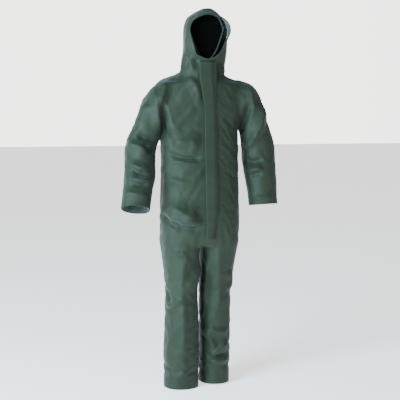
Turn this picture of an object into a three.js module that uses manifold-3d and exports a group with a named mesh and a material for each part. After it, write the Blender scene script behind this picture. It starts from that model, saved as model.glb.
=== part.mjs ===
// A one-piece hooded work coverall of coated cloth, standing as it hangs on a body, in millimetres.
// +Z is up and the front faces -Y, so the wearer's right side is at -X. The origin is on the ground,
// below the middle of the suit. Every cloth piece is a thin shell, open where an arm, leg or head goes in.
import * as THREE from "three";
import { mergeVertices } from "three/addons/utils/BufferGeometryUtils.js";
import Module from "manifold-3d";

const wasm = await Module();
wasm.setup();

// Driving sizes
const cloth = 2; // wall of every cloth shell
const gap = 0.4; // clearance between sewn pieces
const crotchZ = 722;
const waistZ = 1105;
const yokeZ = 1400;
const kneeZ = 470;
const hemHeight = 32;
const armholeX = 200; // the armhole seams lie in the planes x = -armholeX and x = armholeX
const shoulderZ = 1398;
const ringPoints = 36;
const limbPoints = 24;
const far = 900; // a reach past every side of the suit

// The zip runs straight up the front to the neck seam, leaning back a little towards the chin.
const zip = { x: 24, bottomY: -146, bottomZ: 790, topY: -97.8, topZ: 1494, tapeHalf: 12, teethHalf: 2.8 };
const zipSlope = (zip.topY - zip.bottomY) / (zip.topZ - zip.bottomZ);
const zipTilt = Math.atan(zipSlope);
const frontAt = (z) => zip.bottomY + (z - zip.bottomZ) * zipSlope;

// The neck seam plane falls towards the front.
const neck = { backY: 45, backZ: 1540, slope: 0.284, centreX: 5, halfWidth: 105 };

// Storm flap: from its free edge over the zip to its hinge seam on the wearer's left.
const flap = { hingeX: 59, freeX: -3, chinFreeX: -24, chinZ: 1490, taperZ: 1370, topZ: 1574, bottomZ: 738 };
flap.lift = 6.5; // clearance from the cloth below, for the zip pull and studs
const studs = { count: 6, x: 4, topZ: 1470, bottomZ: 800, radius: 5.5 };

const fabric = new THREE.MeshStandardMaterial({ color: 0x3d4f42, roughness: 0.55, metalness: 0 });
const lining = new THREE.MeshStandardMaterial({ color: 0x6b756c, roughness: 0.9, metalness: 0 });
const netting = new THREE.MeshStandardMaterial({ color: 0x0e0f0d, roughness: 0.9, metalness: 0 });
const tapeCloth = new THREE.MeshStandardMaterial({ color: 0x1c231e, roughness: 0.85, metalness: 0 });
const nylon = new THREE.MeshStandardMaterial({ color: 0x202622, roughness: 0.5, metalness: 0 });
const metal = new THREE.MeshStandardMaterial({ color: 0x77796f, roughness: 0.35, metalness: 0.9 });

const suit = new THREE.Group();
suit.position.set(7.3, 21.7, 0); // puts the middle of the suit over the origin

function addMesh(name, geometry, material) {
  const mesh = new THREE.Mesh(geometry, material);
  mesh.name = name;
  suit.add(mesh);
  return mesh;
}

// Solids and geometries

function toSolid(geometry) {
  const bare = geometry.clone();
  bare.deleteAttribute("normal");
  bare.deleteAttribute("uv");
  const merged = mergeVertices(bare, 1e-3);
  return new wasm.Manifold(
    new wasm.Mesh({
      numProp: 3,
      vertProperties: new Float32Array(merged.attributes.position.array),
      triVerts: new Uint32Array(merged.index.array),
    }),
  );
}

function toGeometry(solid) {
  const mesh = solid.getMesh();
  const geometry = new THREE.BufferGeometry();
  geometry.setAttribute("position", new THREE.BufferAttribute(new Float32Array(mesh.vertProperties), 3));
  geometry.setIndex(new THREE.BufferAttribute(new Uint32Array(mesh.triVerts), 1));
  return geometry;
}

// A box between two corners, as a solid.
function block(low, high) {
  const size = high.map((value, axis) => value - low[axis]);
  const box = new THREE.BoxGeometry(...size);
  box.translate(...high.map((value, axis) => (value + low[axis]) / 2));
  return toSolid(box);
}

// A closed surface through rings of equal length, with a flat fan at each end.
function loft(rings) {
  const count = rings[0].length;
  const points = rings.flat();
  const faces = [];
  for (let r = 0; r + 1 < rings.length; r++) {
    for (let i = 0; i < count; i++) {
      const a = r * count + i;
      const b = r * count + ((i + 1) % count);
      faces.push(a, b, b + count, a, b + count, a + count);
    }
  }
  for (const [r, flip] of [[0, true], [rings.length - 1, false]]) {
    const middle = new THREE.Vector3();
    rings[r].forEach((point) => middle.addScaledVector(point, 1 / count));
    const hub = points.push(middle) - 1;
    for (let i = 0; i < count; i++) {
      const a = r * count + i;
      const b = r * count + ((i + 1) % count);
      faces.push(...(flip ? [hub, b, a] : [hub, a, b]));
    }
  }
  const geometry = new THREE.BufferGeometry().setFromPoints(points);
  geometry.setIndex(faces);
  return geometry;
}

// An open tube with a wall: outer and inner rings joined at both ends.
function tube(outer, inner) {
  const count = outer[0].length;
  const last = outer.length - 1;
  const points = [...outer.flat(), ...inner.flat()];
  const shift = outer.length * count;
  const faces = [];
  const quad = (a, b, c, d) => faces.push(a, b, c, a, c, d);
  for (let i = 0; i < count; i++) {
    const j = (i + 1) % count;
    for (let r = 0; r < last; r++) {
      const a = r * count + i;
      const b = r * count + j;
      quad(a, b, b + count, a + count);
      quad(shift + b, shift + a, shift + a + count, shift + b + count);
    }
    quad(j, i, shift + i, shift + j);
    quad(last * count + i, last * count + j, shift + last * count + j, shift + last * count + i);
  }
  const geometry = new THREE.BufferGeometry().setFromPoints(points);
  geometry.setIndex(faces);
  return geometry;
}

// A rounded section with its own front and back depth, level or leaning forwards.
function levelRing(s, inset, count = ringPoints) {
  const square = s.square ?? 2.5;
  const middleY = (s.front + s.back) / 2;
  return Array.from({ length: count }, (_, i) => {
    const angle = (2 * Math.PI * i) / count;
    const c = Math.cos(angle);
    const q = Math.sin(angle);
    const depth = (s.back - s.front) / 2 - inset;
    const y = middleY + Math.sign(q) * Math.abs(q) ** (2 / square) * depth;
    return new THREE.Vector3(
      (s.x ?? 0) + Math.sign(c) * Math.abs(c) ** (2 / square) * (s.half - inset),
      y,
      s.z + (s.tilt ?? 0) * neck.slope * (y - neck.backY),
    );
  });
}

// Torso: one skin from crotch to neck, cut into its sewn panels

const torsoStations = [
  { z: 700, half: 190, front: -112, back: 118 },
  { z: 722, half: 192, front: -126, back: 124 },
  { z: 790, half: 195, back: 130 },
  { z: 900, half: 196, back: 130 },
  { z: 1020, half: 192, back: 114 },
  { z: 1105, half: 188, back: 106 },
  { z: 1200, half: 191, back: 112 },
  { z: 1290, half: 197, back: 121 },
  { z: 1330, half: 222, back: 122 },
  { z: 1400, half: 244, back: 118 },
  { z: 1450, half: 240, back: 108 },
  { z: 1483, half: 218, back: 96 },
  { z: 1505, half: 186, back: 82, square: 2.4 },
  { z: 1522, half: 145, back: 66, square: 2.2, x: 2 },
  { z: 1536, half: 112, back: 49, square: 2, x: 4 },
  { z: 1570, half: neck.halfWidth, back: 45, square: 2, x: neck.centreX },
].map((s) => {
  // Towards the neck the rings lean over to the seam plane, with their fronts still on the zip line.
  const tilt = THREE.MathUtils.smoothstep(s.z, 1450, 1538);
  const lean = tilt * neck.slope;
  const front = (frontAt(s.z) - neck.backY * lean * zipSlope) / (1 - lean * zipSlope);
  return { front, tilt, ...s };
});

const above = 60; // how far an inner solid runs past the ends it opens
const opened = (stations) => [
  { ...stations[0], z: stations[0].z - above },
  ...stations,
  { ...stations[stations.length - 1], z: stations[stations.length - 1].z + above },
];

const torsoSkin = toSolid(loft(torsoStations.map((s) => levelRing(s, 0))))
  .subtract(toSolid(loft(opened(torsoStations).map((s) => levelRing(s, cloth)))));

// Everything above the tilted neck plane, raised by an offset.
function aboveNeck(offset) {
  const size = 800;
  const box = new THREE.BoxGeometry(size, size, size);
  box.translate(0, 0, size / 2 + offset);
  box.rotateX(Math.atan(neck.slope));
  box.translate(0, neck.backY, neck.backZ);
  return toSolid(box);
}

const torso = torsoSkin.subtract(aboveNeck(-gap / 2));
const bodice = torso.intersect(block([-armholeX, -far, waistZ + gap / 2], [armholeX, far, 1600]));
const seat = torso.intersect(block([-far, -far, crotchZ + gap / 2], [far, far, waistZ - gap / 2]));

// The fronts stop beside the zip tape.
const besideRight = zip.x - zip.tapeHalf - gap;
const besideLeft = zip.x + zip.tapeHalf + gap;
const zipEndZ = zip.bottomZ - 6;
const panels = {
  front_right_panel: bodice.intersect(block([-far, -far, 0], [besideRight, -gap / 2, far * 2])),
  front_left_panel: bodice.intersect(block([besideLeft, -far, 0], [far, -gap / 2, far * 2])),
  back_panel: bodice.intersect(block([-far, gap / 2, 0], [far, far, yokeZ - gap / 2])),
  back_yoke: bodice.intersect(block([-far, gap / 2, yokeZ + gap / 2], [far, far, far * 2])),
};
const zipSlot = block([besideRight, -far, zipEndZ - gap], [besideLeft, 0, waistZ + 1]);
for (const [side, low, high] of [["right", -far, -gap / 2], ["left", gap / 2, far]]) {
  panels[`trouser_front_${side}`] = seat
    .intersect(block([low, -far, 0], [high, -gap / 2, far * 2]))
    .subtract(zipSlot);
  panels[`trouser_back_${side}`] = seat.intersect(block([low, gap / 2, 0], [high, far, far * 2]));
}
for (const [name, solid] of Object.entries(panels)) addMesh(name, toGeometry(solid), fabric);

// Back waist elastic, inside the back panels along the waist seam.
const elasticHeight = 30;
const waistStation = torsoStations.find((s) => s.z === waistZ);
const elasticRings = (inset) =>
  [-0.5, 0.5].map((k) => levelRing({ ...waistStation, z: waistZ + k * elasticHeight }, inset));
const elastic = toSolid(tube(elasticRings(cloth + 3), elasticRings(cloth + 6)))
  .intersect(block([-far, 12, 0], [far, far, far * 2]));
addMesh("waist_elastic", toGeometry(elastic), lining);

// Crotch gusset, a flat web between the tops of the legs.
const gusset = { half: 2.4, front: -78, back: 84, height: 30 };
addMesh(
  "crotch_gusset",
  toGeometry(
    block(
      [-gusset.half, gusset.front, crotchZ - gusset.height],
      [gusset.half, gusset.back, crotchZ - gap],
    ),
  ),
  fabric,
);

// Sleeves: an armhole ring in its upright plane, bending down into the arm

// A section across a limb: u is its width direction, v its depth direction.
function limbRing(s, inset) {
  const along = s.along.clone().normalize();
  const depth = new THREE.Vector3(0, 1, 0).addScaledVector(along, -along.y).normalize();
  const width = new THREE.Vector3().crossVectors(along, depth).normalize();
  return Array.from({ length: limbPoints }, (_, i) => {
    const angle = (2 * Math.PI * i) / limbPoints;
    return s.at
      .clone()
      .addScaledVector(width, Math.cos(angle) * (s.half - inset))
      .addScaledVector(depth, Math.sin(angle) * (s.depth - inset));
  });
}

const mirrorX = (vector, side) => new THREE.Vector3(vector.x * side, vector.y, vector.z);
const vec = (x, y, z) => new THREE.Vector3(x, y, z);

// Stations are for the left arm (+X); the right arm is its mirror with its own elbow and wrist.
const seamX = armholeX + gap;
const sleeveHead = [
  { at: vec(seamX, 0, shoulderZ), along: vec(1, 0, 0), half: 97, depth: 84 },
  { at: vec(232, 0, 1384), along: vec(0.93, 0, -0.37), half: 86, depth: 83 },
  { at: vec(252, 0, 1350), along: vec(0.7, 0, -0.71), half: 76, depth: 80 },
  { at: vec(268, 0, 1301), along: vec(0.42, 0, -0.91), half: 73, depth: 77 },
  { at: vec(284, 0, 1236), along: vec(0.33, 0, -0.944), half: 72, depth: 75 },
];
const elbow = { x: 305, z: 1165, half: 72, depth: 75, along: vec(0.33, 0, -0.944) };
const arms = {
  right: { side: -1, elbowY: 0, lean: -10, wrist: vec(336, -112, 884), cuffHalf: 69, cuffDepth: 66 },
  left: { side: 1, elbowY: 8, lean: 2, wrist: vec(318, -24, 884), cuffHalf: 67, cuffDepth: 66 },
};

function limbTube(stations) {
  return tube(
    stations.map((s) => limbRing(s, 0)),
    stations.map((s) => limbRing(s, cloth)),
  );
}

function faceOutwards(geometry) {
  if (toSolid(geometry).volume() > 0) return geometry;
  const index = geometry.index.array;
  for (let i = 0; i < index.length; i += 3) [index[i + 1], index[i + 2]] = [index[i + 2], index[i + 1]];
  return geometry;
}

for (const [name, arm] of Object.entries(arms)) {
  const elbowAt = vec(elbow.x + arm.lean, arm.elbowY, elbow.z);
  const elbowStation = { at: elbowAt, along: elbow.along, half: elbow.half, depth: elbow.depth };
  const mirrored = (stations) =>
    stations.map((s) => ({ ...s, at: mirrorX(s.at, arm.side), along: mirrorX(s.along, arm.side) }));
  const head = sleeveHead.map((s, i) => ({ ...s, at: s.at.clone().add(vec((arm.lean * i) / 5, 0, 0)) }));
  const outside = arm.side > 0
    ? block([seamX, -far, 0], [far, far, far * 2])
    : block([-far, -far, 0], [-seamX, far, far * 2]);
  const upper = toSolid(faceOutwards(limbTube(mirrored([...head, elbowStation])))).intersect(outside);
  addMesh(`${name}_upper_sleeve`, toGeometry(upper), fabric);

  const forearm = arm.wrist.clone().sub(elbowAt);
  const length = forearm.length();
  const forearmDir = forearm.clone().normalize();
  const onArm = (share, half, depth, turn) => ({
    at: elbowAt.clone().addScaledVector(forearm, share),
    along: elbow.along.clone().lerp(forearmDir, turn),
    half,
    depth,
  });
  const start = { ...elbowStation, at: elbowAt.clone().addScaledVector(elbow.along, 0.8) };
  const cuffShare = 1 - hemHeight / length;
  const middle = [onArm(0.3, 77, 78, 0.6), onArm(0.62, 76, 74, 1)];
  const cuff = [
    onArm(cuffShare, arm.cuffHalf, arm.cuffDepth, 1),
    onArm(1, arm.cuffHalf, arm.cuffDepth, 1),
  ];
  const seam = { ...cuff[0], at: cuff[0].at.clone().addScaledVector(forearmDir, -gap) };
  addMesh(`${name}_forearm_sleeve`, faceOutwards(limbTube(mirrored([start, ...middle, seam]))), fabric);
  addMesh(`${name}_cuff`, faceOutwards(limbTube(mirrored(cuff))), fabric);
}

// Legs: stations from the crotch down, with a hem band at the foot

const legs = {
  right: { topX: -97.5, kneeX: -98, hemX: -96, kneeY: -8, hemY: -8, hemHalf: 88, floorZ: 0 },
  left: { topX: 97.5, kneeX: 86, hemX: 84, kneeY: 22, hemY: 34, hemHalf: 80, floorZ: 4 },
};
for (const [name, leg] of Object.entries(legs)) {
  const station = (z, x, y, half, depth, square = 2.3) =>
    ({ z, x, half, front: y - depth, back: y + depth, square });
  const hem = (z) => station(z, leg.hemX, leg.hemY, leg.hemHalf, 86, 2.2);
  const limb = (stations) =>
    tube(
      stations.map((s) => levelRing(s, 0, limbPoints)),
      stations.map((s) => levelRing(s, cloth, limbPoints)),
    );
  const knee = (z) => station(z, leg.kneeX, leg.kneeY, 80, 88);
  const hemTop = leg.floorZ + hemHeight;
  const thigh = [
    knee(kneeZ + gap),
    station(600, (leg.topX + leg.kneeX) / 2, leg.kneeY / 2, 86, 104),
    station(crotchZ - gap, leg.topX, -1, 94, 122, 2.6),
  ];
  const shin = [
    hem(hemTop + gap),
    station(230, leg.hemX, leg.hemY * 0.7, 83, 86, 2.2),
    knee(kneeZ - gap),
  ];
  addMesh(`${name}_thigh`, faceOutwards(limb(thigh)), fabric);
  addMesh(`${name}_shin`, faceOutwards(limb(shin)), fabric);
  addMesh(`${name}_leg_hem`, faceOutwards(limb([hem(leg.floorZ), hem(hemTop)])), fabric);
}

// Hood: two halves and a rim round the face, with netting sewn in behind the rim

const rimY = -95; // the face opening lies in this upright plane
const rimWidth = 18;
const hoodStations = [
  { z: 1470, half: 104, front: -94, back: 45, x: 5 },
  { z: 1540, half: 104, front: -91.5, back: 45, x: 5 },
  { z: 1584, half: 103, front: -95.6, back: 62, x: 12 },
  { z: 1613, half: 100, front: -101.4, back: 72, x: 18 },
  { z: 1646, half: 98, front: -112, back: 82, x: 20 },
  { z: 1685, half: 98, front: -127, back: 90, x: 20 },
  { z: 1733, half: 99, front: -155, back: 90, x: 20 },
  { z: 1786, half: 78, front: -137, back: 78, x: 24 },
  { z: 1802, half: 60, front: -103, back: 60, x: 27 },
  { z: 1818, half: 36, front: -76, back: 30, x: 31 },
  { z: 1829, half: 12, front: -44, back: -6, x: 33 },
].map((s) => ({ square: 2.2, ...s }));
const hoodInside = [{ ...hoodStations[0], z: hoodStations[0].z - above }, ...hoodStations];
hoodInside[hoodInside.length - 1] = { ...hoodInside.at(-1), z: hoodInside.at(-1).z - cloth * 1.5 };
const hoodSkin = toSolid(loft(hoodStations.map((s) => levelRing(s, 0))))
  .subtract(toSolid(loft(hoodInside.map((s) => levelRing(s, cloth)))))
  .intersect(aboveNeck(gap / 2))
  .intersect(block([-far, rimY, 0], [far, far, far * 3]));

// The face opening is egg shaped, wide at the brow and narrow at the chin.
const face = { centreX: 20, middleZ: 1700 };
const faceHalf = [
  [1810, 0], [1798, 45], [1784, 66], [1733, 88], [1685, 74], [1646, 60], [1613, 43], [1588, 24], [1577, 0],
];
function facePrism(grow, fromY, toY) {
  const side = faceHalf.map(([z, half]) => {
    const outward = new THREE.Vector2(half, z - face.middleZ).setLength(Math.abs(grow));
    return new THREE.Vector2(half, z).addScaledVector(outward, Math.sign(grow));
  });
  const round = [...side, ...side.slice(1, -1).reverse().map((p) => new THREE.Vector2(-p.x, p.y))];
  const outline = new THREE.Shape(new THREE.SplineCurve([...round, round[0]]).getPoints(40).slice(0, -1));
  const prism = new THREE.ExtrudeGeometry(outline, { depth: toY - fromY, bevelEnabled: false });
  prism.rotateX(Math.PI / 2);
  prism.translate(face.centreX, toY, 0);
  return toSolid(prism);
}

const hoodShell = hoodSkin.subtract(facePrism(rimWidth + gap, -far, rimY + rimWidth + gap));
for (const [name, low, high] of [
  ["hood_right", -far, face.centreX - gap / 2],
  ["hood_left", face.centreX + gap / 2, far],
])
  addMesh(name, toGeometry(hoodShell.intersect(block([low, -far, 0], [high, far, far * 3]))), fabric);
addMesh("hood_rim", toGeometry(hoodSkin.intersect(facePrism(rimWidth, -far, rimY + rimWidth))), fabric);

const netY = -61;
const insideHood = toSolid(loft(hoodStations.slice(1).map((s) => levelRing(s, cloth + gap * 2))));
addMesh("veil_netting", toGeometry(facePrism(-4, netY, netY + 1.5).intersect(insideHood)), netting);
const binding = facePrism(4, netY - 1, netY + 3).subtract(facePrism(-4 + gap, netY - 2, netY + 4));
addMesh("veil_binding", toGeometry(binding.intersect(insideHood)), tapeCloth);

// Zip: pieces are laid out along the zip line, whose local axes are x across, y out of the cloth, z up

const zipLength = (zip.topZ - zip.bottomZ) / Math.cos(zipTilt);
const zipFrame = new THREE.Matrix4()
  .makeTranslation(zip.x, zip.bottomY, zip.bottomZ)
  .multiply(new THREE.Matrix4().makeRotationX(-zipTilt));

// A box in the zip's frame: x range, distance out of the cloth from low to high, and height range.
function onZip([x0, x1], [out0, out1], [z0, z1]) {
  const box = new THREE.BoxGeometry(x1 - x0, out1 - out0, z1 - z0);
  box.translate((x0 + x1) / 2, -(out0 + out1) / 2, (z0 + z1) / 2);
  return box;
}
const placed = (geometry) => geometry.applyMatrix4(zipFrame);

const tapeTop = zipLength;

for (const [side, sign] of [["right", -1], ["left", 1]]) {
  const across = (near, away) => (sign > 0 ? [near, away] : [-away, -near]);
  addMesh(
    `zip_tape_${side}`,
    placed(onZip(across(0.3, zip.tapeHalf), [-1.6, -0.6], [0, tapeTop])),
    tapeCloth,
  );
  addMesh(
    `zip_teeth_${side}`,
    placed(onZip(across(0.15, zip.teethHalf), [-0.3, 0.9], [4, tapeTop - 6])),
    nylon,
  );
  addMesh(
    `zip_top_stop_${side}`,
    placed(onZip(across(0.3, 3), [-0.3, 1.4], [tapeTop - 5.6, tapeTop - 2])),
    metal,
  );
}
addMesh("zip_bottom_stop", placed(onZip([-3.2, 3.2], [-0.3, 1.4], [0, 3.6])), metal);
addMesh("zip_guard", placed(onZip([-34, 16], [-5.6, -4.2], [2, tapeTop - 10])), fabric);

// Slider at the top of its run: a channel over the teeth, with a bridge for the pull.
const slider = { length: 13, half: 4.6, top: zipLength - 8 };
const sliderZ = [slider.top - slider.length, slider.top];
const sliderMiddle = slider.top - slider.length / 2;
const channel = toSolid(onZip([-slider.half, slider.half], [-0.3, 2.6], sliderZ))
  .subtract(toSolid(onZip([-3.2, 3.2], [-1, 1.3], [sliderZ[0] - 1, sliderZ[1] + 1])))
  .add(toSolid(onZip([-1, 1], [2.5, 4.8], [sliderMiddle - 4, sliderMiddle + 4])))
  .subtract(toSolid(onZip([-2, 2], [2.9, 4.2], [sliderMiddle - 2.4, sliderMiddle + 2.4])));
addMesh("zip_slider", placed(toGeometry(channel)), metal);

// The pull hangs from the bridge by its own small window.
const pull = { half: 3.4, length: 22 };
const pullPlate = toSolid(
  onZip([-pull.half, pull.half], [3.2, 3.9], [sliderMiddle - pull.length, sliderMiddle + 1.6]),
)
  .subtract(toSolid(onZip([-1.5, 1.5], [2, 5.5], [sliderMiddle - 4.8, sliderMiddle + 0.5])));
addMesh("zip_pull", placed(toGeometry(pullPlate)), metal);

// Storm flap and its hidden press studs

const onZipZ = (z) => (z - zip.bottomZ) / Math.cos(zipTilt);
const flapOutline = [
  [flap.hingeX - 26, flap.bottomZ],
  [flap.hingeX, 860],
  [flap.hingeX, flap.topZ],
  [flap.chinFreeX, flap.topZ],
  [flap.chinFreeX, flap.chinZ],
  [flap.freeX, flap.taperZ],
  [flap.freeX, flap.bottomZ],
].map(([x, z]) => new THREE.Vector2(x - zip.x, onZipZ(z)));
const flapWall = 2;
const flapPlate = new THREE.ExtrudeGeometry(new THREE.Shape(flapOutline), {
  depth: flapWall,
  bevelEnabled: false,
});
flapPlate.rotateX(Math.PI / 2);
flapPlate.translate(0, -flap.lift, 0);
addMesh("storm_flap", placed(flapPlate), fabric);

// Studs sit on the right front, just under the flap's free edge; sockets face them from the flap.
function disc(radius, [out0, out1], x, z) {
  const shape = new THREE.CylinderGeometry(radius, radius, out1 - out0, 12);
  shape.translate(x - zip.x, -(out0 + out1) / 2, onZipZ(z));
  return shape;
}
for (let i = 0; i < studs.count; i++) {
  const z = studs.topZ + ((studs.bottomZ - studs.topZ) * i) / (studs.count - 1);
  addMesh(`stud_post_${i + 1}`, placed(disc(studs.radius, [0.5, 2.6], studs.x, z)), metal);
  addMesh(`stud_socket_${i + 1}`, placed(disc(studs.radius, [3, flap.lift - gap], studs.x, z)), metal);
}

// Hanger loop inside the back of the neck, hanging as a U from the neck seam

const loop = { half: 32, width: 8, wall: 1.4, y: 39, topZ: 1534, squash: 0.6 };
const loopShape = new THREE.Shape();
loopShape.absarc(0, 0, loop.half, Math.PI, 2 * Math.PI, false);
loopShape.absarc(0, 0, loop.half - loop.width, 2 * Math.PI, Math.PI, true);
const loopPlate = new THREE.ExtrudeGeometry(loopShape, {
  depth: loop.wall,
  bevelEnabled: false,
  curveSegments: 10,
});
loopPlate.scale(1, loop.squash, 1);
loopPlate.rotateX(Math.PI / 2);
loopPlate.translate(neck.centreX, loop.y, loop.topZ);
addMesh("hanger_loop", loopPlate, tapeCloth);

export default suit;
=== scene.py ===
import math
import bpy
import bmesh
import numpy as np
from mathutils import Matrix, Vector, noise
from mathutils.bvhtree import BVHTree


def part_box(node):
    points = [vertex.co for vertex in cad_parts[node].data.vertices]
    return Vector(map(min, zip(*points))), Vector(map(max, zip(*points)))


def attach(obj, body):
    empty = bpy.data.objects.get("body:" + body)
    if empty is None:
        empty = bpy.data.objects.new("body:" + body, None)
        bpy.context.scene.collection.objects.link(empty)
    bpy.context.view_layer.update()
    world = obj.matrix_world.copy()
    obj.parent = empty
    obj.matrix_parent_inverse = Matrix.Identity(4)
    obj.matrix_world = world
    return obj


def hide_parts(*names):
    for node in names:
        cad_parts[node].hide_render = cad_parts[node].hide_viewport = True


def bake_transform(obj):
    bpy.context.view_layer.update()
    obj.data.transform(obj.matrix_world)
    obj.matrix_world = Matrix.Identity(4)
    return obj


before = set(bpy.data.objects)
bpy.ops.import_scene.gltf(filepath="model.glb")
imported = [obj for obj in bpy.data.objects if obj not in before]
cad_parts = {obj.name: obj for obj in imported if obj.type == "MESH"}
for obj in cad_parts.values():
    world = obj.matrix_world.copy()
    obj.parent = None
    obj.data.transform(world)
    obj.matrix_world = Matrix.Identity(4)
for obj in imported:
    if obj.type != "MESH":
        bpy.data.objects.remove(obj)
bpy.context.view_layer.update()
shift = np.array([7.3, 21.7, 0.0])  # the suit is laid out in mm round its zip, then moved by this


def dropSelection():
    if bpy.context.mode != "OBJECT":
        bpy.ops.object.mode_set(mode="OBJECT")
    bpy.ops.object.select_all(action="DESELECT")


# Camera: a little to the wearer's right and at chest height

shot = {"azimuth": -15, "distance": 4.75, "height": 1.36, "aim": (0.006, 0, 0.913), "lens": 88.6}
turn = math.radians(shot["azimuth"])
camera = bpy.data.objects.new("camera", bpy.data.cameras.new("camera"))
bpy.context.collection.objects.link(camera)
camera.data.lens = shot["lens"]
camera.location = (shot["distance"] * math.sin(turn), -shot["distance"] * math.cos(turn), shot["height"])
look = Vector(shot["aim"]) - camera.location
camera.rotation_euler = look.to_track_quat("-Z", "Y").to_euler()
camera.data.clip_end = 60
bpy.context.scene.camera = camera


# Mesh helpers

def newMesh(name, points, faces, smooth=True):
    mesh = bpy.data.meshes.new(name)
    mesh.from_pydata([tuple(p) for p in points], [], [tuple(f) for f in faces])
    mesh.update()
    if smooth:
        mesh.polygons.foreach_set("use_smooth", [True] * len(mesh.polygons))
    piece = bpy.data.objects.new(name, mesh)
    bpy.context.collection.objects.link(piece)
    return piece


def coords(piece):
    out = np.empty(len(piece.data.vertices) * 3)
    piece.data.vertices.foreach_get("co", out)
    return out.reshape(-1, 3)


def setCoords(piece, points):
    piece.data.vertices.foreach_set("co", np.ascontiguousarray(points, float).ravel())
    piece.data.update()


def vertexNormals(piece):
    out = np.empty(len(piece.data.vertices) * 3, np.float32)
    piece.data.vertex_normals.foreach_get("vector", out)
    return out.reshape(-1, 3).astype(float)


def ease(value, low, high):
    t = np.clip((np.asarray(value, float) - low) / (high - low), 0, 1)
    return t * t * (3 - 2 * t)


def levelRing(z, x, half, front, back, square, count):
    angle = np.linspace(0, 2 * math.pi, count, endpoint=False)
    c, s = np.cos(angle), np.sin(angle)
    px = x + np.sign(c) * np.abs(c) ** (2 / square) * half
    py = (front + back) / 2 + np.sign(s) * np.abs(s) ** (2 / square) * (back - front) / 2
    return np.stack([px, py, np.full(count, z)], 1)


def limbRing(at, along, half, depth, count):
    along = np.array(along, float) / np.linalg.norm(along)
    down = np.array([0, 1, 0]) - along * along[1]
    down /= np.linalg.norm(down)
    width = np.cross(along, down)
    angle = np.linspace(0, 2 * math.pi, count, endpoint=False)
    return np.array(at) + np.outer(np.cos(angle), width) * half + np.outer(np.sin(angle), down) * depth


def smoothStations(rows, step):
    # even stations on a smooth curve through the given rows; the first column is the parameter
    rows = np.array(rows, float)
    knots = rows[:, 0]
    slopes = np.gradient(rows[:, 1:], knots, axis=0)
    out = []
    for t in np.arange(knots[0], knots[-1] + step / 2, step):
        k = min(max(np.searchsorted(knots, t) - 1, 0), len(knots) - 2)
        h = knots[k + 1] - knots[k]
        s = (t - knots[k]) / h
        value = (
            (2 * s**3 - 3 * s**2 + 1) * rows[k, 1:] + (s**3 - 2 * s**2 + s) * h * slopes[k]
            + (3 * s**2 - 2 * s**3) * rows[k + 1, 1:] + (s**3 - s**2) * h * slopes[k + 1]
        )
        out.append((t, *value))
    return out


def closedLoft(name, rings):
    count = len(rings[0])
    points = np.concatenate(rings)
    faces = []
    for r in range(len(rings) - 1):
        for i in range(count):
            a, b = r * count + i, r * count + (i + 1) % count
            faces.append((a, b, b + count, a + count))
    faces.append(tuple(range(count))[::-1])
    faces.append(tuple((len(rings) - 1) * count + i for i in range(count)))
    form = newMesh(name, points, faces)
    work = bmesh.new()
    work.from_mesh(form.data)
    bmesh.ops.recalc_face_normals(work, faces=work.faces)
    work.to_mesh(form.data)
    work.free()
    return form


def fused(forms, name, voxel):
    # one watertight skin round overlapping forms
    dropSelection()
    for form in forms:
        form.select_set(True)
    bpy.context.view_layer.objects.active = forms[0]
    if len(forms) > 1:
        bpy.ops.object.join()
    skin = forms[0]
    skin.name = name
    skin.data.remesh_voxel_size = voxel
    skin.data.use_remesh_preserve_volume = True
    bpy.ops.object.voxel_remesh()
    skin.data.polygons.foreach_set("use_smooth", [True] * len(skin.data.polygons))
    return skin


def edgeArray(piece):
    out = np.empty(len(piece.data.edges) * 2, np.int64)
    piece.data.edges.foreach_get("vertices", out)
    return out.reshape(-1, 2)


def relax(points, edges, rounds, share=None, strength=0.5):
    n = len(points)
    degree = np.bincount(edges.ravel(), minlength=n)[:, None]
    for _ in range(rounds):
        total = np.stack([
            np.bincount(edges[:, 0], points[edges[:, 1], k], n) + np.bincount(edges[:, 1],
                points[edges[:, 0], k], n)
            for k in range(3)
        ], 1)
        move = (total / np.maximum(degree, 1) - points) * strength
        points = points + (move if share is None else move * share[:, None])
    return points


sculptSettings = {
    "depth": 1.5, "round": 2.0, "crumple": 1.8, "crumpleSize": 165.0, "buckle": 20,
    "coarse": 12.0, "growth": -0.012, "hold": 0.26, "most": 8.0,
}

# Sculpting: each fold is a line drawn across the cloth, with its height and its reach on both sides

def foldHeight(u, z, fold):
    # u, z: where each point stands on the wall that the fold is drawn on
    line = np.array(fold["line"], float)
    best = np.full(len(u), 1e9)
    side = np.zeros(len(u))
    run = np.zeros(len(u))
    lengths = np.linalg.norm(np.diff(line, axis=0), axis=1)
    start = np.concatenate([[0], np.cumsum(lengths)])
    total = start[-1]
    for k in range(len(line) - 1):
        a, d = line[k], (line[k + 1] - line[k]) / lengths[k]
        along = (u - a[0]) * d[0] + (z - a[1]) * d[1]
        held = np.clip(along, 0, lengths[k])
        du, dz = u - a[0] - held * d[0], z - a[1] - held * d[1]
        gap = np.hypot(du, dz)
        near = gap < best
        best = np.where(near, gap, best)
        side = np.where(near, d[0] * dz - d[1] * du, side)
        run = np.where(near, start[k] + held, run)
    reach = np.where(side > 0, fold["left"], fold["right"])
    soft = fold.get("round", sculptSettings["round"])
    away = np.sqrt(best**2 + soft**2) - soft
    shape = np.clip(1 - away / reach, 0, 1) ** fold.get("power", 1.6)
    fade = fold.get("fade", 0.3) * total
    ends = ease(run, -1, fade) * ease(total - run, -1, fade) if not fold.get("open") else 1.0
    return fold["high"] * shape * ends * sculptSettings["depth"]


# The form of the suit on its wearer, in mm: trunk, sleeves, legs

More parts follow.
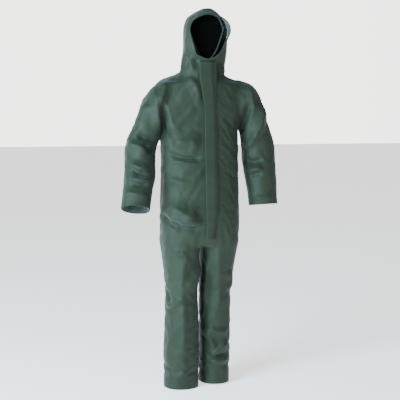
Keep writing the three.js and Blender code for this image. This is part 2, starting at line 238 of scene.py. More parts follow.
trunkRows = [  # z, x, half width, front, back, squareness
    (700, 0, 186, -118, 116, 2.7), (745, 0, 190, -138, 124, 2.7), (790, 0, 192, -146, 128, 2.6),
    (900, 0, 192, -139, 128, 2.5), (1010, 0, 190, -131, 114, 2.5), (1105, 0, 188, -125, 107, 2.5),
    (1200, 0, 190, -118, 112, 2.5), (1290, 0, 196, -112, 120, 2.5), (1350, 0, 226, -108, 122, 2.5),
    (1400, 0, 240, -104, 118, 2.4), (1450, 0, 232, -101, 108, 2.3), (1483, 1, 208, -99, 96, 2.3),
    (1505, 2, 178, -97, 82, 2.3), (1522, 3, 142, -96, 66, 2.2), (1538, 4, 113, -95, 50, 2.1),
    (1575, 5, 103, -92, 45, 2.0),
]
armRows = {  # x, y, z, along x, along y, along z, half width, half depth
    "right": [
        (-120, 0, 1404, -1, 0, 0, 78, 66), (-190, 0, 1394, -1, 0, -0.16, 88, 83),
        (-206, 0, 1376, -0.86, 0, -0.5, 77, 83), (-219, 0, 1342, -0.62, 0, -0.78, 70, 80),
        (-236, 0, 1300, -0.44, 0, -0.9, 68, 77), (-266, -1, 1236, -0.34, 0, -0.94, 70, 76),
        (-290, -6, 1170, -0.2, -0.1, -0.97, 74, 76), (-297, -24, 1109, -0.14, -0.24, -0.95, 74, 77),
        (-305, -54, 1032, -0.14, -0.38, -0.91, 74, 76), (-324, -85, 955, -0.14, -0.39, -0.91, 69, 70),
        (-338, -113, 884, -0.14, -0.39, -0.91, 69, 66), (-344, -130, 842, -0.14, -0.39, -0.91, 70, 66),
    ],
    "left": [
        (120, 0, 1404, 1, 0, 0, 78, 66), (200, 0, 1398, 1, 0, -0.1, 95, 84),
        (232, 0, 1385, 0.88, 0, -0.45, 87, 84), (252, 0, 1350, 0.62, 0, -0.78, 79, 81),
        (266, 0, 1300, 0.38, 0, -0.92, 75, 78), (284, 1, 1236, 0.28, 0, -0.96, 77, 77),
        (300, 6, 1170, 0.14, -0.02, -0.98, 83, 77), (304, 4, 1109, 0.1, -0.1, -0.98, 83, 77),
        (310, -6, 1032, 0.1, -0.12, -0.98, 79, 75), (317, -16, 955, 0.06, -0.12, -0.99, 73, 68),
        (320, -25, 884, 0.06, -0.12, -0.99, 71, 66), (321, -30, 845, 0.06, -0.12, -0.99, 71, 66),
    ],
}
legRows = {  # z, x, half width, front, back, squareness
    "right": [
        (-34, -94.5, 85.5, -96, 78, 2.2), (60, -94, 85, -95, 78, 2.2), (200, -93.5, 84.5, -94, 76, 2.2),
        (300, -92.5, 83.5, -96, 76, 2.2), (400, -92, 79, -98, 78, 2.2), (485, -93, 77, -100, 80, 2.2),
        (560, -92.5, 83.5, -104, 94, 2.3), (620, -95, 86, -110, 104, 2.4), (672, -97, 88, -118, 112, 2.5),
        (715, -96, 94, -124, 120, 2.6),
        (790, -96, 88, -120, 110, 2.6),
    ],
    "left": [
        (-34, 84, 75, -52, 118, 2.2), (60, 84, 75, -54, 116, 2.2), (200, 84.5, 75.5, -58, 112, 2.2),
        (300, 85, 76, -62, 110, 2.2), (400, 85, 76, -64, 108, 2.2), (485, 85.5, 76.5, -68, 110, 2.2),
        (560, 89.5, 80.5, -84, 112, 2.3), (620, 93.5, 84.5, -98, 114, 2.4), (672, 96, 87, -112, 117, 2.5),
        (715, 96, 94, -123, 120, 2.6),
        (790, 96, 88, -118, 110, 2.6),
    ],
}
hoodRows = [  # z, x, half width, front, back, squareness
    (1500, 6, 106, -94, 45, 2.1), (1540, 12, 109, -90, 48, 2.1), (1560, 14, 109, -88, 55, 2.1),
    (1584, 17, 108, -93, 63, 2.1), (1613, 21, 106, -105, 74, 2.1), (1646, 24, 104, -119, 83, 2.1),
    (1685, 24, 104, -138, 91, 2.1), (1733, 24, 105, -160, 92, 2.1), (1765, 24, 96, -141, 88, 2.1),
    (1790, 25, 80, -104, 78, 2.1), (1806, 28, 61, -84, 60, 2.1), (1820, 31, 39, -64, 36, 2.1),
    (1833, 33, 14, -46, 4, 2.1),
]
skinSettings = {"voxel": 6.0, "relax": 18, "lean": 0.284,
    "neck": (45, 1540)}


def leaning(ring, z):
    # towards the neck the rings lean over to the seam plane
    lean = float(ease(z, 1450, 1538)) * skinSettings["lean"]
    out = ring.copy()
    out[:, 1] = np.where(out[:, 1] < 0, out[:, 1] * (1 + 0.03 * lean / 0.284), out[:, 1])
    out[:, 2] += lean * (out[:, 1] - skinSettings["neck"][0])
    return out


forms = [closedLoft("trunkForm",
    [leaning(levelRing(*row, 120), row[0]) for row in smoothStations(trunkRows, 12)])]
forms.append(closedLoft("hoodForm", [levelRing(*row, 96) for row in smoothStations(hoodRows, 6)]))
for side, rows in armRows.items():
    steps = np.concatenate([[0], np.cumsum(np.linalg.norm(np.diff(np.array(rows)[:, :3], axis=0), axis=1))])
    path = smoothStations([(s, *row) for s, row in zip(steps, rows)], 12)
    forms.append(closedLoft(side + "ArmForm", [limbRing(r[1:4], r[4:7], r[7], r[8], 72) for r in path]))
for side, rows in legRows.items():
    forms.append(closedLoft(side + "LegForm", [levelRing(*row, 80) for row in smoothStations(rows, 14)]))
skin = fused(forms, "suitSkin", skinSettings["voxel"])
links = edgeArray(skin)
points = coords(skin)
overNeck = points[:, 2] - 1540 - skinSettings["lean"] * (points[:, 1] - 45)
softening = (1 - 0.75 * ease(points[:, 2], 1530, 1600)) * (0.2 + 0.8 * ease(np.abs(overNeck), 4, 34))
points = relax(points, links, skinSettings["relax"], share=softening)
setCoords(skin, points)
print("skin fused:", len(points), "points")


# Folds. The wall a fold is drawn on is seen from a little to the wearer's right.

toEye = np.array([math.sin(turn), -math.cos(turn), 0.0])
across = np.array([math.cos(turn), math.sin(turn), 0.0])

folds = {
    "trunk": [
        # neck to flap
        {"line": [(-57, 1511), (-18, 1463), (9, 1403), (29, 1349)], "high": 9, "left": 26, "right": 40},
        # beside flap
        {"line": [(-5, 1493), (19, 1439), (28, 1385), (31, 1337)], "high": 6, "left": 14, "right": 22},
        # shoulder drop
        {"line": [(-153, 1493), (-159, 1445), (-174, 1403), (-195, 1367)], "high": 12, "left": 36,
            "right": 60},
        # armhole valley
        {"line": [(-165, 1391), (-173, 1337), (-170, 1277), (-161, 1211)], "high": -14, "left": 26,
            "right": 22},
        # chest slope
        {"line": [(-159, 1397), (-141, 1337), (-114, 1277), (-72, 1232)], "high": 8, "left": 60, "right": 45},
        # side pleat
        {"line": [(-153, 1319), (-120, 1247), (-129, 1202)], "high": 7, "left": 34, "right": 22},
        # belly crown
        {"line": [(-129, 1187), (-84, 1199), (-36, 1196), (6, 1163)], "high": 13, "left": 60, "right": 42},
        # waist crease
        {"line": [(-153, 1157), (-114, 1134), (-66, 1123), (-12, 1120), (30, 1122)], "high": -11,
            "left": 16, "right": 20},
        # waist ledge
        {"line": [(-126, 1116), (-84, 1108), (-48, 1103), (0, 1114)], "high": 6, "left": 14, "right": 30},
        # flank drag
        {"line": [(-174, 1055), (-132, 1022), (-72, 1006), (0, 1013)], "high": 7, "left": 30, "right": 36},
        {"line": [(33, 1079), (6, 1037), (-48, 1013)], "high": 6, "left": 28, "right": 28},  # flap drag
        # hip swell
        {"line": [(-144, 905), (-96, 881), (-48, 851), (0, 842)], "high": 14, "left": 70, "right": 60},
        # hip fold
        {"line": [(-174, 878), (-126, 845), (-72, 818), (-24, 812), (6, 816), (30, 842)], "high": 16,
            "left": 90, "right": 18},
        # hip hollow
        {"line": [(-132, 836), (-84, 800), (-30, 802), (18, 794)], "high": -12, "left": 20, "right": 40},
        {"line": [(-174, 860), (-147, 821), (-102, 791)], "high": -8, "left": 16, "right": 22},  # side drag
    ],
    "legRight": [
        # front edge
        {"line": [(-85, 791), (-65, 737), (-60, 683), (-75, 605), (-84, 521), (-83, 437), (-75, 341),
            (-77, 221), (-77, 101), (-77, -1)], "high": 17, "left": 85, "right": 85},
        # crotch sweep
        {"line": [(39, 701), (30, 641), (0, 593), (-42, 527), (-84, 461)], "high": 13, "left": 50,
            "right": 34},
        {"line": [(-120, 689), (-96, 671), (-60, 674)], "high": 7, "left": 28, "right": 26},  # thigh puff
        {"line": [(-165, 494), (-147, 455), (-132, 425)], "high": -9, "left": 18, "right": 24},  # knee tuck
        {"line": [(-161, 401), (-126, 419), (-84, 449)], "high": 10, "left": 30, "right": 22},  # knee ridge
        {"line": [(-153, 380), (-114, 401), (-78, 425)], "high": -7, "left": 16, "right": 30},  # knee under
        # shin run
        {"line": [(-75, 341), (-114, 305), (-138, 221), (-153, 101)], "high": 9, "left": 36, "right": 48},
        {"line": [(-120, 53), (-84, 77), (-66, 101)], "high": 5, "left": 22, "right": 22},  # ankle tuck
    ],
    "legLeft": [
        # inner run
        {"line": [(48, 653), (36, 557), (30, 461), (26, 365)], "high": 9, "left": 16, "right": 16},
        # inner groove
        {"line": [(36, 629), (21, 521), (14, 401), (13, 293)], "high": -8, "left": 13, "right": 13},
        {"line": [(144, 581), (156, 521), (144, 461)], "high": 8, "left": 34, "right": 30},  # outer edge
        # long run
        {"line": [(90, 731), (96, 581), (96, 431), (84, 311)], "high": 9, "left": 60, "right": 60},
        # knee break
        {"line": [(30, 293), (60, 278), (102, 272), (144, 269)], "high": 9, "left": 24, "right": 34},
        # shin vee left
        {"line": [(30, 293), (54, 233), (72, 197), (45, 155)], "high": 8, "left": 26, "right": 30},
        # shin vee right
        {"line": [(144, 221), (108, 197), (72, 161), (45, 154)], "high": 12, "left": 46, "right": 18},
        {"line": [(51, 140), (90, 148), (144, 150)], "high": -13, "left": 16, "right": 20},  # ankle band
        {"line": [(60, 107), (90, 122), (144, 130)], "high": 9, "left": 16, "right": 30},  # ankle ledge
    ],
    "armRight": [
        # outer crown
        {"line": [(-210, 1463), (-197, 1397), (-191, 1319), (-186, 1241)], "high": 11, "left": 34,
            "right": 40},
        {"line": [(-246, 1397), (-270, 1325), (-294, 1259)], "high": 8, "left": 60, "right": 60},  # arm swell
        # bend shadow
        {"line": [(-300, 1250), (-264, 1222), (-222, 1206), (-183, 1193)], "high": -19, "left": 30,
            "right": 26},
        # bend under
        {"line": [(-270, 1187), (-234, 1163), (-198, 1163)], "high": -12, "left": 24, "right": 22},
        # elbow crest
        {"line": [(-344, 1202), (-306, 1188), (-264, 1172), (-227, 1154)], "high": 15, "left": 26,
            "right": 50},
        {"line": [(-321, 1103), (-282, 1076), (-234, 1082)], "high": 12, "left": 36, "right": 16},  # zig one
        # zig one under
        {"line": [(-312, 1088), (-279, 1061), (-234, 1037)], "high": -9, "left": 14, "right": 26},
        {"line": [(-327, 1040), (-288, 1022), (-228, 1034)], "high": 12, "left": 30, "right": 16},  # zig two
        # zig two under
        {"line": [(-312, 1022), (-276, 1007), (-234, 1007)], "high": -8, "left": 14, "right": 24},
        # wrist crest
        {"line": [(-363, 950), (-318, 966), (-276, 959), (-231, 950)], "high": 9, "left": 34, "right": 26},
    ],
    "armLeft": [
        # sleeve head
        {"line": [(222, 1493), (252, 1421), (258, 1367), (240, 1301)], "high": 10, "left": 30, "right": 40},
        # under valley
        {"line": [(246, 1403), (234, 1337), (207, 1271), (201, 1211)], "high": -16, "left": 26, "right": 26},
        # outer run
        {"line": [(294, 1397), (306, 1325), (294, 1265), (252, 1187)], "high": 13, "left": 40, "right": 50},
        {"line": [(216, 1169), (252, 1187), (288, 1253)], "high": 8, "left": 26, "right": 26},  # inner crest
        {"line": [(222, 1109), (264, 1097), (312, 1115)], "high": -10, "left": 24, "right": 22},  # bend
        {"line": [(240, 1049), (276, 1061), (312, 1070)], "high": 12, "left": 30, "right": 20},  # low bend
        {"line": [(252, 1025), (270, 1043), (306, 1049)], "high": -9, "left": 16, "right": 22},  # low shade
        {"line": [(252, 941), (288, 923), (366, 932)], "high": 7, "left": 24, "right": 24},  # wrist run
    ],
    "hood": [
        {"line": [(-55, 1613), (-39, 1571), (-24, 1526)], "high": 9, "left": 26, "right": 20},  # cheek seam
        # cheek wedge
        {"line": [(-66, 1607), (-72, 1577), (-77, 1535)], "high": -10, "left": 18, "right": 24},
        {"line": [(-27, 1584), (0, 1579)], "high": -6, "left": 12, "right": 12},  # chin pinch
        # side sweep
        {"line": [(-57, 1727), (-54, 1667), (-30, 1613), (0, 1565)], "high": 6, "left": 34, "right": 30},
    ],
}
backFolds = {
    "trunk": [
        {"line": [(-150, 1470), (-60, 1400), (40, 1372), (130, 1385)], "high": 9, "left": 40, "right": 60},
        {"line": [(160, 1440), (120, 1340), (110, 1230)], "high": 10, "left": 40, "right": 50},
        {"line": [(-165, 1430), (-125, 1330), (-120, 1220)], "high": 10, "left": 40, "right": 50},
        {"line": [(-160, 1190), (-60, 1150), (50, 1158), (150, 1200)], "high": 12, "left": 50, "right": 30},
        {"line": [(-170, 1120), (-80, 1098), (20, 1104), (160, 1128)], "high": -11, "left": 20, "right": 26},
        {"line": [(-150, 1060), (-50, 1000), (20, 960)], "high": 8, "left": 40, "right": 40},
        {"line": [(150, 1065), (70, 985), (30, 900), (6, 800)], "high": 8, "left": 40, "right": 44},
        {"line": [(0, 1330), (8, 1250), (-4, 1180)], "high": 7, "left": 50, "right": 50},
        {"line": [(-150, 830), (-60, 790), (0, 760)], "high": 10, "left": 44, "right": 30},
        {"line": [(150, 825), (70, 780), (10, 750)], "high": 10, "left": 30, "right": 44},
    ],
    "legRight": [
        {"line": [(-90, 720), (-96, 560), (-86, 420), (-92, 200), (-90, 0)], "high": 10, "left": 80,
            "right": 80},
        {"line": [(-160, 520), (-90, 492), (-20, 506)], "high": 10, "left": 30, "right": 26},
        {"line": [(-160, 468), (-90, 452), (-20, 470)], "high": -9, "left": 18, "right": 22},
        {"line": [(-160, 425), (-80, 405), (-20, 430)], "high": 8, "left": 22, "right": 34},
        {"line": [(-140, 90), (-80, 70), (-30, 95)], "high": 6, "left": 22, "right": 26},
    ],
    "legLeft": [
        {"line": [(90, 720), (98, 560), (84, 420), (86, 200), (84, 0)], "high": 10, "left": 80, "right": 80},
        {"line": [(20, 510), (90, 490), (160, 515)], "high": 10, "left": 30, "right": 26},
        {"line": [(20, 465), (90, 448), (160, 468)], "high": -9, "left": 18, "right": 22},
        {"line": [(20, 190), (80, 160), (150, 180)], "high": 9, "left": 30, "right": 26},
        {"line": [(20, 130), (90, 112), (150, 134)], "high": -7, "left": 16, "right": 20},
    ],
    "armRight": [
        {"line": [(-330, 1210), (-280, 1178), (-230, 1190)], "high": -10, "left": 24, "right": 22},
        {"line": [(-345, 1165), (-290, 1140), (-235, 1150)], "high": 13, "left": 26, "right": 36},
        {"line": [(-240, 1440), (-270, 1350), (-285, 1260)], "high": 9, "left": 40, "right": 40},
        {"line": [(-350, 1050), (-300, 1020), (-250, 1030)], "high": 8, "left": 24, "right": 30},
    ],
    "armLeft": [
        {"line": [(330, 1215), (290, 1185), (240, 1192)], "high": -10, "left": 22, "right": 24},
        {"line": [(352, 1165), (300, 1140), (245, 1150)], "high": 13, "left": 36, "right": 26},
        {"line": [(240, 1440), (275, 1350), (295, 1260)], "high": 9, "left": 40, "right": 40},
        {"line": [(360, 1040), (310, 1012), (255, 1024)], "high": 8, "left": 30, "right": 24},
    ],
}


def zoneOf(points):
    x, z = points[:, 0], points[:, 2]
    leg = 1 - ease(z, 700, 760)
    hood = ease(z - 1540 - 0.284 * (points[:, 1] - 45), -6, 10)
    return {
        "hood": hood,
        "trunk": (1 - ease(np.abs(x), 200, 232) * (z > 820)) * (1 - leg) * (1 - hood),
        "armRight": ease(-x, 180, 206) * (z > 820), "armLeft": ease(x, 180, 206) * (z > 820),
        "legRight": (x < 0) * (1 - ease(z, 760, 810)), "legLeft": (x >= 0) * (1 - ease(z, 760, 810)),
    }


def sculpt(points, normals, zones):
    # pushes the skin out along its own level normal at each fold
    u, z = points @ across, points[:, 2]
    facing = ease(normals @ toEye, -0.05, 0.4)
    behind = ease(normals[:, 1], 0.0, 0.4)
    push = np.zeros(len(points))
    for zone, lines in folds.items():
        if zone in zones:
            for fold in lines:
                push += foldHeight(u, z, fold) * zones[zone] * facing
    for zone, lines in backFolds.items():
        if zone in zones:
            for fold in lines:
                push += foldHeight(points[:, 0], z, fold) * zones[zone] * behind
    return push


def calmZip(points):
    # the cloth lies flat beside the zip, under the storm flap
    front = points[:, 1] < 0
    high = ease(points[:, 2], 745, 800)
    return 1 - front * high * (1 - ease(np.abs(points[:, 0] - 26), 34, 62))


def crumple(points, size):
    # a net of soft ridges, longer down the cloth than across it
    height = np.empty(len(points))
    for i, (x, y, z) in enumerate(points / size):
        spot = Vector((x * 1.25, y * 1.25, z * 0.72))
        wide = noise.noise(spot + Vector((3.1, 0, 0)))
        fine = noise.noise(spot * 2.3 + Vector((0, 7.7, wide)))
        height[i] = 0.75 - abs(wide) * 2.2 + 0.45 * (0.6 - abs(fine) * 2.4)
    return height


def calmEdges(points):
    # hems, the hood opening and the seams that meet hardware hold their line
    calm = calmZip(points)
    calm = calm * ease(points[:, 2], 4, 60)
    calm = calm * (0.35 + 0.65 * ease(points[:, 1], -96,
        -70) * (points[:, 2] > 1560) + 0.65 * (points[:, 2] <= 1560))
    return calm


normals = vertexNormals(skin)
calm = calmEdges(points)
push = sculpt(points, normals, zoneOf(points)) * calmZip(points)
push += (crumple(points, sculptSettings["crumpleSize"]) - 0.3) * sculptSettings["crumple"] * calm
points = points + normals * push[:, None]
flare = ease(points[:, 2], 1650, 1715) * (1 - ease(points[:, 2], 1775, 1815))
points[:, 0] += 13 * flare * ease(points[:, 0], 60, 110) * ease(-points[:, 1], 52, 92)
points = relax(points, links, 1, strength=0.35)


def tuckChin(points):
    # below the face opening the hood stays behind the plane of its hem
    above = points[:, 2] - 1540 - 0.284 * (points[:, 1] - 45)
    low = (above > -3) & (points[:, 2] < 1586) & (points[:, 1] < -80)
    most = -94.2 + 0 * points[:, 1]
    points[:, 1] = np.where(low, np.maximum(points[:, 1], most), points[:, 1])
    return points


points = tuckChin(points)
setCoords(skin, points)
print("folds laid")


def buckled(skin, points):
    # cloth simulation on a coarser copy: the cloth grows a little and buckles, held softly to its place
    coarse = bpy.data.objects.new("coarseSkin", skin.data.copy())
    bpy.context.collection.objects.link(coarse)
    dropSelection()
    coarse.select_set(True)
    bpy.context.view_layer.objects.active = coarse
    coarse.data.remesh_voxel_size = sculptSettings["coarse"]
    bpy.ops.object.voxel_remesh()
    start = coords(coarse)
    setCoords(coarse, start / 1000)
    held = np.clip(sculptSettings["hold"] + 0.85 * (1 - calmEdges(start)), 0, 1)
    group = coarse.vertex_groups.new(name="held")
    for level in np.unique(np.round(held, 2)):
        group.add([int(i) for i in np.nonzero(np.round(held, 2) == level)[0]], float(level), "REPLACE")
    cloth = coarse.modifiers.new("cloth", "CLOTH")
    settings = cloth.settings
    settings.quality = 6
    settings.mass = 0.35
    settings.tension_stiffness = settings.compression_stiffness = 28
    settings.shear_stiffness = 12
    settings.bending_stiffness = 1.6
    settings.tension_damping = settings.compression_damping = 12
    settings.air_damping = 4
    settings.vertex_group_mass = "held"
    settings.pin_stiffness = 0.9
    settings.shrink_min = settings.shrink_max = sculptSettings["growth"]
    settings.effector_weights.gravity = 0.35
    cloth.collision_settings.use_collision = False
    cloth.point_cache.frame_start, cloth.point_cache.frame_end = 1, sculptSettings["buckle"]
    for step in range(1, sculptSettings["buckle"] + 1):
        bpy.context.scene.frame_set(step)
    bpy.ops.object.modifier_apply(modifier="cloth")
    moved = coords(coarse) * 1000 - start
    far = np.linalg.norm(moved, axis=1)
    print("cloth moved by", round(float(np.median(far)), 1), "mm at the middle,",
        round(float(far.max()), 1), "at most")
    moved *= (np.minimum(far, sculptSettings["most"]) / np.maximum(far, 1e-6))[:, None]
    faces = [tuple(f.vertices) for f in coarse.data.polygons]
    tree = BVHTree.FromPolygons([tuple(p) for p in start], faces)
    shiftBy = np.zeros_like(points)
    for i, spot in enumerate(points):
        near, _, index, _ = tree.find_nearest(Vector(spot))
        corners = list(faces[index])
        weight = 1 / (np.linalg.norm(start[corners] - np.array(near), axis=1) + 0.5)
        shiftBy[i] = (moved[corners] * weight[:, None]).sum(0) / weight.sum()
    bpy.data.objects.remove(coarse)
    bpy.context.scene.frame_set(1)
    return points + shiftBy


if sculptSettings["buckle"]:
    points = tuckChin(relax(buckled(skin, points), links, 1, strength=0.3))
    setCoords(skin, points)
    print("cloth buckled")


# Cutting the skin into the sewn pieces

def keepNormals(piece, normals):
    layer = piece.data.attributes.get("skinNormal") or piece.data.attributes.new("skinNormal",
        "FLOAT_VECTOR", "POINT")
    layer.data.foreach_set("vector", np.ascontiguousarray(normals, np.float32).ravel())


def cutOut(source, planes):
    # keeps the side of every plane that its direction points away from
    work = bmesh.new()
    work.from_mesh(source.data)
    for at, away, *_ in planes:
        geometry = work.verts[:] + work.edges[:] + work.faces[:]
        bmesh.ops.bisect_plane(
            work, geom=geometry, dist=1e-4, plane_co=Vector(at), plane_no=Vector(away), clear_outer=True,
        )
    bmesh.ops.triangulate(work, faces=[f for f in work.faces if len(f.verts) > 4])
    layer = work.verts.layers.float_vector["skinNormal"]
    work.verts.index_update()
    spots = np.array([v.co[:] for v in work.verts])
    normals = np.array([v[layer][:] for v in work.verts])
    faces = [[v.index for v in f.verts] for f in work.faces]
    work.free()
    normals /= np.maximum(np.linalg.norm(normals, axis=1), 1e-9)[:, None]
    return spots, faces, normals


def seamDistance(spots, seams):
    # mm from each point to the nearest sewn edge
    gap = np.full(len(spots), 99.0)
    for at, away, *kind in seams:
        if not kind:
            gap = np.minimum(gap, np.abs((spots - np.array(at)) @ np.array(away)))
    return gap


def clothPiece(name, spots, faces, normals, wall=1.8, lift=0.0, seams=()):
    # a wall of cloth: the outer face, the backing and the cut edges between them
    n = len(spots)
    seamGap = seamDistance(spots, seams)
    outer = spots + normals * (lift - 0.9 * (1 - ease(seamGap, 0, 4)))[:, None]
    both = np.concatenate([outer, outer - normals * wall])
    sides = {(a, b) for face in faces for a, b in zip(face, face[1:] + face[:1])}
    rim = [(b, a, a + n, b + n) for a, b in sorted(sides) if (b, a) not in sides]
    allFaces = [tuple(f) for f in faces] + [tuple(i + n for i in reversed(f)) for f in faces] + rim
    piece = newMesh(name, (both + shift) / 1000, allFaces)
    mesh = piece.data
    piece.data.polygons.foreach_set("material_index", [0] * len(faces) + [1] * len(faces) + [0] * len(rim))
    wanted = np.zeros((len(mesh.loops), 3))
    starts = np.empty(len(mesh.loops), np.int32)
    mesh.loops.foreach_get("vertex_index", starts)
    inner = starts >= n
    wanted[:] = normals[np.where(inner, starts - n, starts)] * np.where(inner, -1, 1)[:, None]
    rimStart = sum(len(f) for f in faces) * 2
    wanted[rimStart:] = 0
    mesh.normals_split_custom_set(wanted.tolist())
    layer = mesh.attributes.new("seamGap", "FLOAT", "POINT")
    layer.data.foreach_set("value", np.concatenate([seamGap, seamGap]).astype(np.float32))
    return piece


keepNormals(skin, vertexNormals(skin))

elbows = {"right": ((-295, 0, 1165), (-0.33, 0, -0.944)), "left": ((307, 8, 1165), (0.33, 0, -0.944))}
wrists = {"right": ((-336, -112, 884), (-0.141, -0.386, -0.912)),
    "left": ((318, -24, 884), (0.039, -0.113, -0.993))}
armhole, hipSplit, kneeZ, waistZ, yokeZ, hemZ = 200, 772, 470, 1105, 1400, 32
zipEdges = (11.6, 36.4)
neckPlane = ((0, 45, 1540), (0, -0.273, 0.962))
up, down, front, back = (0, 0, 1), (0, 0, -1), (0, -1, 0), (0, 1, 0)
west, east = (-1, 0, 0), (1, 0, 0)


def beyond(at, along, far):
    return tuple(at[i] + along[i] * far for i in range(3))


def opposite(v):
    return tuple(-c for c in v)


aboveSeam = ((0, 45, 1540), (0, 0.273, -0.962))
rimPlane = ((0, -95, 0), front)
bodice = [((-armhole, 0, 0), west), ((armhole, 0, 0), east), neckPlane, ((0, 0, waistZ), down)]
breech = [((0, 0, waistZ), up), ((0, 0, hipSplit), down, "plain"), ((-armhole, 0, 0), west, "plain"),
          ((armhole, 0, 0), east, "plain")]
parts = {
    "frontRightPanel": (bodice + [((0, 0, 0), back), ((zipEdges[0], 0, 0), east)], ["front_right_panel"],
        "torso"),
    "frontLeftPanel": (bodice + [((0, 0, 0), back), ((zipEdges[1], 0, 0), west)], ["front_left_panel"],
        "torso"),
    "backPanel": (bodice + [((0, 0, 0), front), ((0, 0, yokeZ), up)], ["back_panel"], "torso"),
    "backYoke": (bodice + [((0, 0, 0), front), ((0, 0, yokeZ), down)], ["back_yoke"], "torso"),
    "trouserBackRight": (breech + [((0, 0, 0), front), ((0, 0, 0), east)], ["trouser_back_right"], "torso"),
    "trouserBackLeft": (breech + [((0, 0, 0), front), ((0, 0, 0), west)], ["trouser_back_left"], "torso"),
    "trouserFrontRight": (
        breech + [((0, 0, 0), back), ((zipEdges[0], 0, 0), east)], ["trouser_front_right"], "torso"),
    "trouserFrontLeft": (
        breech + [((0, 0, 0), back), ((zipEdges[1], 0, 0), west)], ["trouser_front_left"], "torso"),
}
# the hood pieces list a bend from the bodice to the hood over its lower half; they are only baked in place, not
# attached to a body
hoodBend = ("torso", "hood", (0, 45, 1540), (0, 4, 1684))
parts["hoodRight"] = ([aboveSeam, rimPlane, ((20, 0, 0), east)], ["hood_right"], hoodBend)
parts["hoodLeft"] = ([aboveSeam, rimPlane, ((20, 0, 0), west)], ["hood_left"], hoodBend)
for side, sign in (("right", -1), ("left", 1)):
    cap = side.capitalize()
    outward, inward = (west, east) if sign < 0 else (east, west)
    elbow, elbowDir = elbows[side]
    wrist, wristDir = wrists[side]
    parts["upperSleeve" + cap] = (
        [((sign * armhole, 0, 0), inward), (beyond(elbow, elbowDir, -70), elbowDir, "plain")],
        [side + "_upper_sleeve"],
            ("torso", side + "_upper_arm", (sign * 196, 0, 1398), (sign * 250, 0, 1390)))
    parts["forearmSleeve" + cap] = (
        [((sign * armhole, 0, 0), inward), (beyond(elbow, elbowDir, -70), opposite(elbowDir), "plain"),
         (beyond(wrist, wristDir, -32), wristDir)],
        [side + "_forearm_sleeve"],
        (side + "_upper_arm", side + "_forearm", beyond(elbow, elbowDir, -62), beyond(elbow, elbowDir, 62)))
    parts["cuffHem" + cap] = (
        [((sign * armhole, 0, 0), inward), (beyond(wrist, wristDir, -32), opposite(wristDir)),
            (wrist, wristDir)],
        [side + "_cuff"], side + "_forearm")
    legFloor = 0 if sign < 0 else 4
    parts["thigh" + cap] = (
        [((0, 0, 0), inward, "plain"), ((0, 0, hipSplit), up, "plain"), ((0, 0, kneeZ + 70), down, "plain"),
         ((sign * armhole, 0, 0), outward, "plain")],
        [side + "_thigh"],
        ("torso", side + "_upper_leg", (sign * 97, -60, hipSplit), (sign * 97, -60, 650)))
    parts["shin" + cap] = (
        [((0, 0, 0), inward, "plain"), ((0, 0, kneeZ + 70), up, "plain"), ((0, 0, hemZ + legFloor), down)],
        [side + "_shin"],
        (side + "_upper_leg", side + "_lower_leg", (sign * 97, 0, kneeZ + 68), (sign * 97, 0, kneeZ - 62)))
    parts["legHem" + cap] = (
        [((0, 0, 0), inward, "plain"), ((0, 0, hemZ + legFloor), up), ((0, 0, legFloor), down, "plain")],
        [side + "_leg_hem"], side + "_lower_leg")


# Finishes

class Wire:
    # one shader value; sums and products on it add the nodes
    def __init__(self, finish, socket):
        self.finish, self.socket = finish, socket

    def maths(self, operation, other, swapped=False):
        pair = (other, self) if swapped else (self, other)
        return self.finish.node("ShaderNodeMath", {"operation": operation}, {0: pair[0], 1: pair[1]})

    def __add__(self, other):
        return self.maths("ADD", other)

    def __radd__(self, other):
        return self.maths("ADD", other, True)

    def __sub__(self, other):
        return self.maths("SUBTRACT", other)

    def __rsub__(self, other):
        return self.maths("SUBTRACT", other, True)

    def __mul__(self, other):
        return self.maths("MULTIPLY", other)

    def __rmul__(self, other):
        return self.maths("MULTIPLY", other, True)

    def __truediv__(self, other):
        return self.maths("DIVIDE", other)

    def __pow__(self, other):
        return self.maths("POWER", other)


class Finish:
    def __init__(self, name, **fixed):
        self.material = bpy.data.materials.new(name)
        self.material.use_nodes = True
        self.tree = self.material.node_tree
        self.tree.nodes.clear()
        self.shader = self.tree.nodes.new("ShaderNodeBsdfPrincipled")
        out = self.tree.nodes.new("ShaderNodeOutputMaterial")
        self.tree.links.new(self.shader.outputs[0], out.inputs[0])
        for socket, value in fixed.items():
            self.shader.inputs[socket].default_value = value

    def node(self, kind, settings=None, inputs=None, out=0):
        made = self.tree.nodes.new(kind)
        for key, value in (settings or {}).items():
            if key == "stops":
                ramp = made.color_ramp
                while len(ramp.elements) < len(value):
                    ramp.elements.new(0.5)
                for element, (spot, tone) in zip(ramp.elements, value):
                    element.position, element.color = spot, tone
            else:
                setattr(made, key, value)
        for key, value in (inputs or {}).items():
            if isinstance(value, Wire):
                self.tree.links.new(value.socket, made.inputs[key])
            else:
                made.inputs[key].default_value = value
        return Wire(self, made.outputs[out])

    def feed(self, socket, wire):
        self.tree.links.new(wire.socket, self.shader.inputs[socket])

    def place(self, stretch=(1, 1, 1)):
        spot = self.node("ShaderNodeTexCoord", out=3)
        return self.node("ShaderNodeMapping", {}, {0: spot, 3: stretch})

    def noise(self, scale, detail=3.0, rough=0.5, stretch=(1, 1, 1)):
        return self.node("ShaderNodeTexNoise", {}, {
            "Vector": self.place(stretch), "Scale": scale, "Detail": detail, "Roughness": rough})

    def tones(self, share, low, high, spots=(0.35, 0.65)):
        return self.node("ShaderNodeValToRGB", {"stops": [(spots[0], low), (spots[1], high)]}, {0: share})

    def bump(self, height, distance, strength=1.0, under=None):
        inputs = {"Strength": strength, "Distance": distance, "Height": height}
        if under is not None:
            inputs["Normal"] = under
        return self.node("ShaderNodeBump", {}, inputs)


